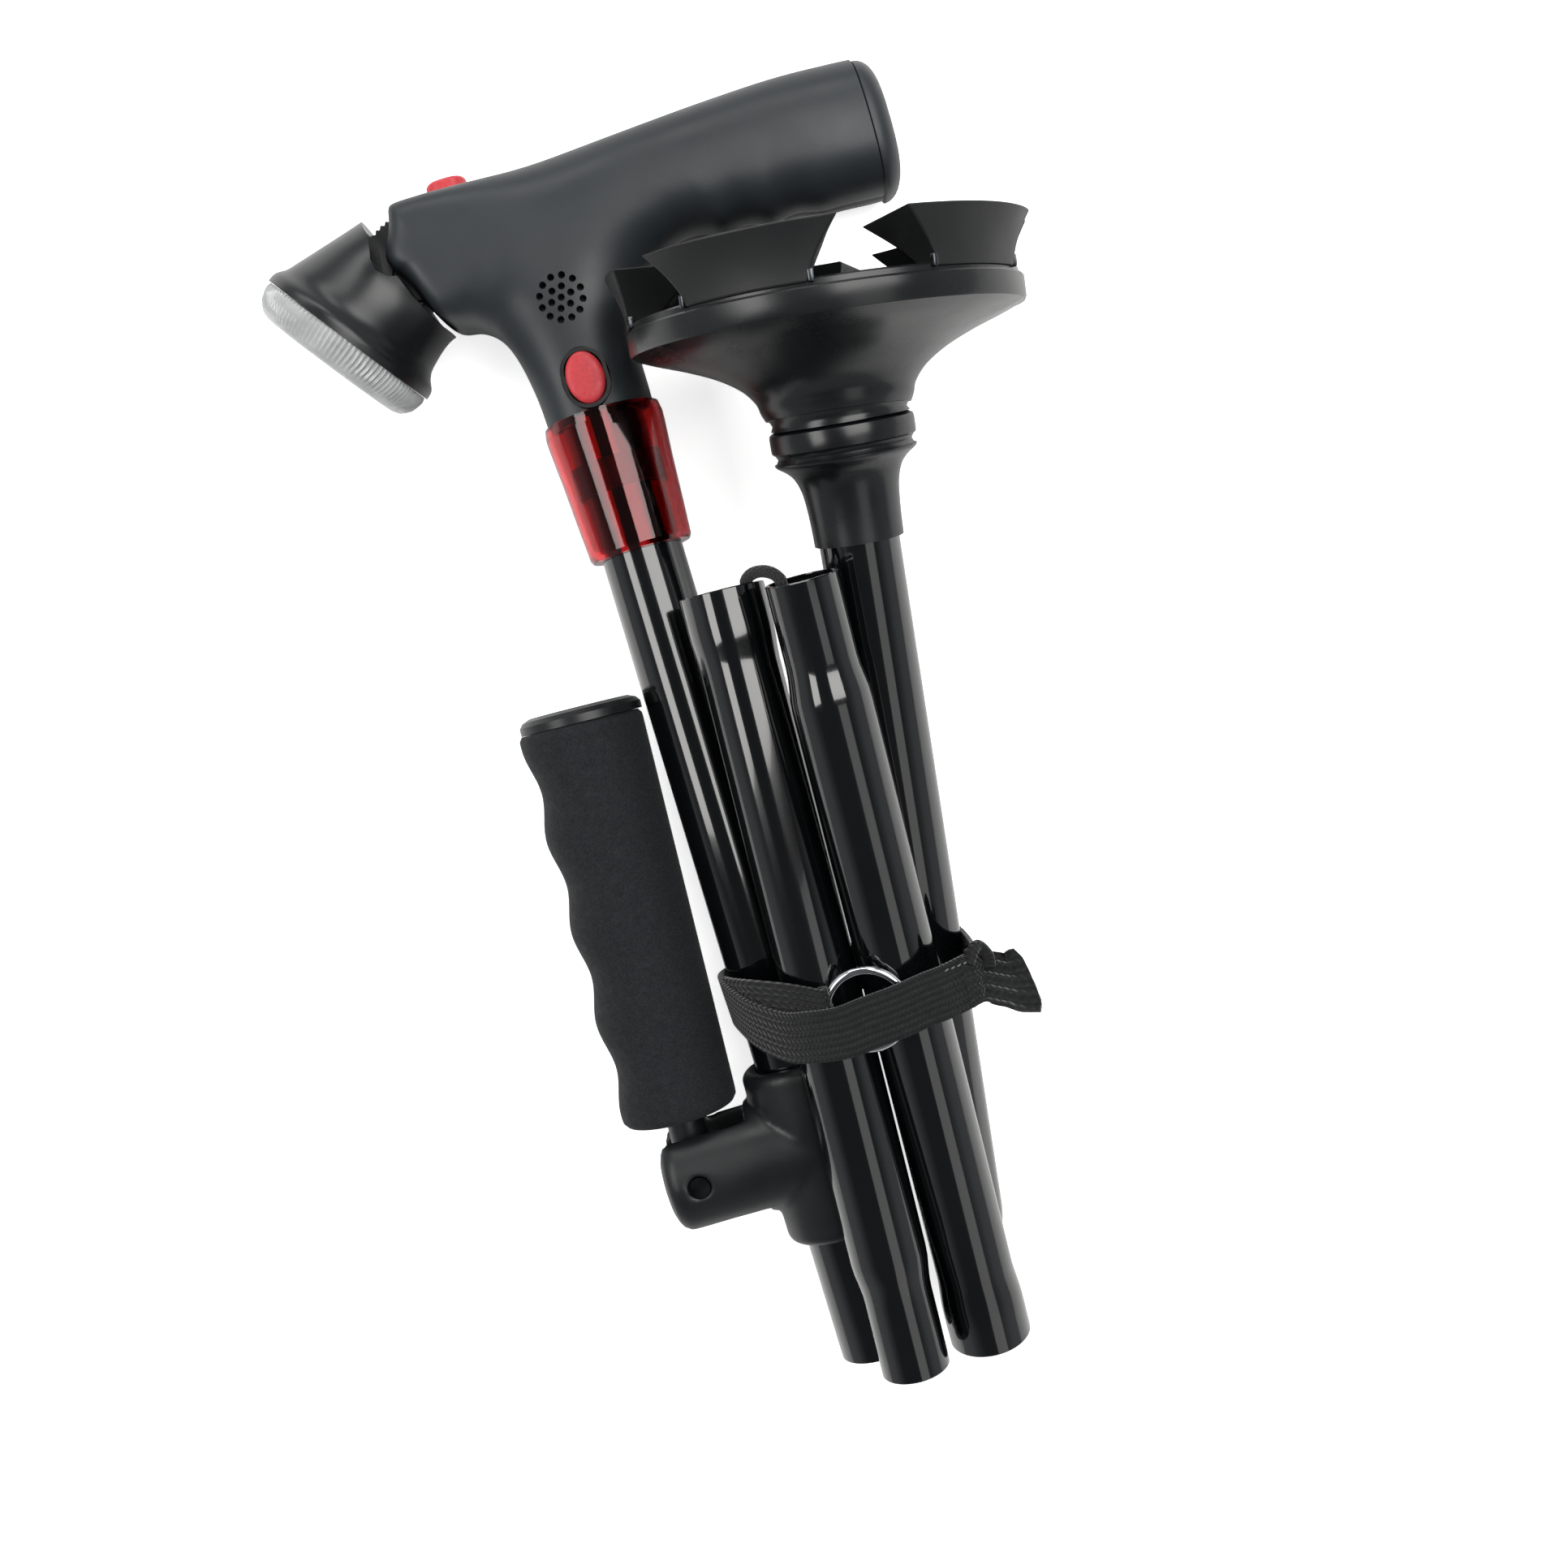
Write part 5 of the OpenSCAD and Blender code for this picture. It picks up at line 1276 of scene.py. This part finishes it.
class CANE_OT_stage(bpy.types.Operator):
    """Set the floor, the soft light and the camera"""
    bl_idname = "cane.stage"
    bl_label = "Stage"
    bl_options = {"REGISTER", "UNDO"}

    def execute(self, context):
        self.floor()
        self.light(context)
        self.camera(context)
        return {"FINISHED"}

    def floor(self):
        start_clean()
        bpy.ops.mesh.primitive_grid_add(x_subdivisions=8, y_subdivisions=8, size=12)
        floor = bpy.context.active_object
        floor.name = "floor"
        f = Finish("pale floor")
        f.sockets(Specular_IOR_Level=0.0, Emission_Color=(1, 1, 1, 1))
        f.colour(f.noise(6, 3), (0.9, 0.9, 0.9), (0.94, 0.94, 0.94))
        f.rough(f.noise(40, 3), 0.85, 0.95)
        path = f.add("LightPath")
        f.sockets(Emission_Strength=f.math("ADD", f.math("MULTIPLY", path.outputs["Is Camera Ray"], 0.75),
                                           f.math("MULTIPLY", path.outputs["Is Transmission Ray"], 0.15)))
        floor.data.materials.append(f.material)

    def light(self, context):
        """A pale sky that darkens upwards, and soft boxes: name, place, aim, size and power."""
        world = bpy.data.worlds.new("studio")
        context.scene.world = world
        world.use_nodes = True
        tree = world.node_tree
        kinds = ("TexCoord", "SeparateXYZ", "ValToRGB")
        spot, parts, band = (tree.nodes.new("ShaderNode" + kind) for kind in kinds)
        sky = ((0.35, (0.42, 0.43, 0.44, 1)), (0.7, (0.1, 0.105, 0.11, 1)))
        for stop, (at, tone) in zip(band.color_ramp.elements, sky):
            stop.position, stop.color = at, tone
        background = tree.nodes["Background"]
        tree.links.new(spot.outputs["Generated"], parts.inputs["Vector"])
        tree.links.new(parts.outputs["Z"], band.inputs["Fac"])
        tree.links.new(band.outputs["Color"], background.inputs["Color"])
        background.inputs["Strength"].default_value = 1.0
        for name, at, aim, wide, tall, power in (
                ("left strip", (-0.66, 0.3, 0.9), (0.0, 0.06, 0.03), 0.4, 0.8, 6.0),
                ("right strip", (0.46, 0.28, 1.0), (0.0, 0.06, 0.03), 0.72, 0.85, 11.5),
                ("low strip", (0.46, -0.6, 0.96), (0.0, -0.06, 0.03), 0.5, 0.8, 1.3),
                ("head softbox", (0.0, 1.05, 0.6), (0.0, 0.1, 0.03), 1.0, 0.3, 4.0)):
            lamp = bpy.data.lights.new(name, "AREA")
            lamp.shape = "RECTANGLE"
            lamp.size, lamp.size_y = wide, tall
            lamp.energy = power
            lamp.color = (1.0, 0.99, 0.97)
            holder = bpy.data.objects.new(name, lamp)
            context.scene.collection.objects.link(holder)
            back = (Vector(at) - Vector(aim)).normalized()
            side = Vector((0, 1, 0)).cross(back).normalized()
            facing = Matrix((side, back.cross(side), back)).transposed().to_4x4()
            holder.matrix_world = Matrix.Translation(at) @ facing

    def camera(self, context):
        """The photograph's view: its three directions, eye in millimetres and focal length in pixels."""
        right = Vector((0.95655553, -0.28539257, -0.05960362))
        down = Vector((-0.27965914, -0.95595326, 0.08912986))
        ahead = Vector((-0.08241527, -0.06858896, -0.99423502))
        eye_at, focal, photo_wide, sensor = Vector((32.88, 27.47, 438.19)), 1969.12, 1932, 36.0
        lens = bpy.data.cameras.new("lens")
        lens.sensor_fit = "HORIZONTAL"
        lens.sensor_width = sensor
        lens.lens = sensor * focal / photo_wide
        lens.clip_start = 0.01
        eye = bpy.data.objects.new("camera", lens)
        context.scene.collection.objects.link(eye)
        facing = Matrix((right, -down, -ahead)).transposed().to_4x4()
        eye.matrix_world = Matrix.Translation(eye_at * MM) @ facing
        context.scene.camera = eye
        context.scene.view_settings.view_transform = "Standard"


class CANE_PT_pieces(bpy.types.Panel):
    """Lists the steps that make the cane's looks"""
    bl_idname = "CANE_PT_pieces"
    bl_label = "Folding cane"
    bl_space_type = "VIEW_3D"
    bl_region_type = "UI"
    bl_category = "Cane"

    def draw(self, context):
        for step in STEPS:
            self.layout.operator(step.bl_idname)
        for group in (context.scene.cane_shades, context.scene.cane_sizes):
            box = self.layout.box()
            for key in group.__annotations__:
                box.prop(group, key)


STEPS = (CANE_OT_stage, CANE_OT_cord, CANE_OT_finishes, CANE_OT_handle, CANE_OT_lamp, CANE_OT_second_handle,
         CANE_OT_base, CANE_OT_band)
CLASSES = (CaneShades, CaneSizes, *STEPS, CANE_PT_pieces)


def register():
    for kind in CLASSES:
        bpy.utils.register_class(kind)
    bpy.types.Scene.cane_shades = PointerProperty(type=CaneShades)
    bpy.types.Scene.cane_sizes = PointerProperty(type=CaneSizes)


def unregister():
    del bpy.types.Scene.cane_sizes
    del bpy.types.Scene.cane_shades
    for kind in reversed(CLASSES):
        bpy.utils.unregister_class(kind)


def main():
    register()
    bpy.ops.cane.stage()
    bpy.ops.cane.cord()
    bpy.ops.cane.finishes()
    bpy.ops.cane.handle()
    bpy.ops.cane.lamp()
    bpy.ops.cane.second_handle()
    bpy.ops.cane.base()
    bpy.ops.cane.band()


if __name__ == "__main__":
    main()
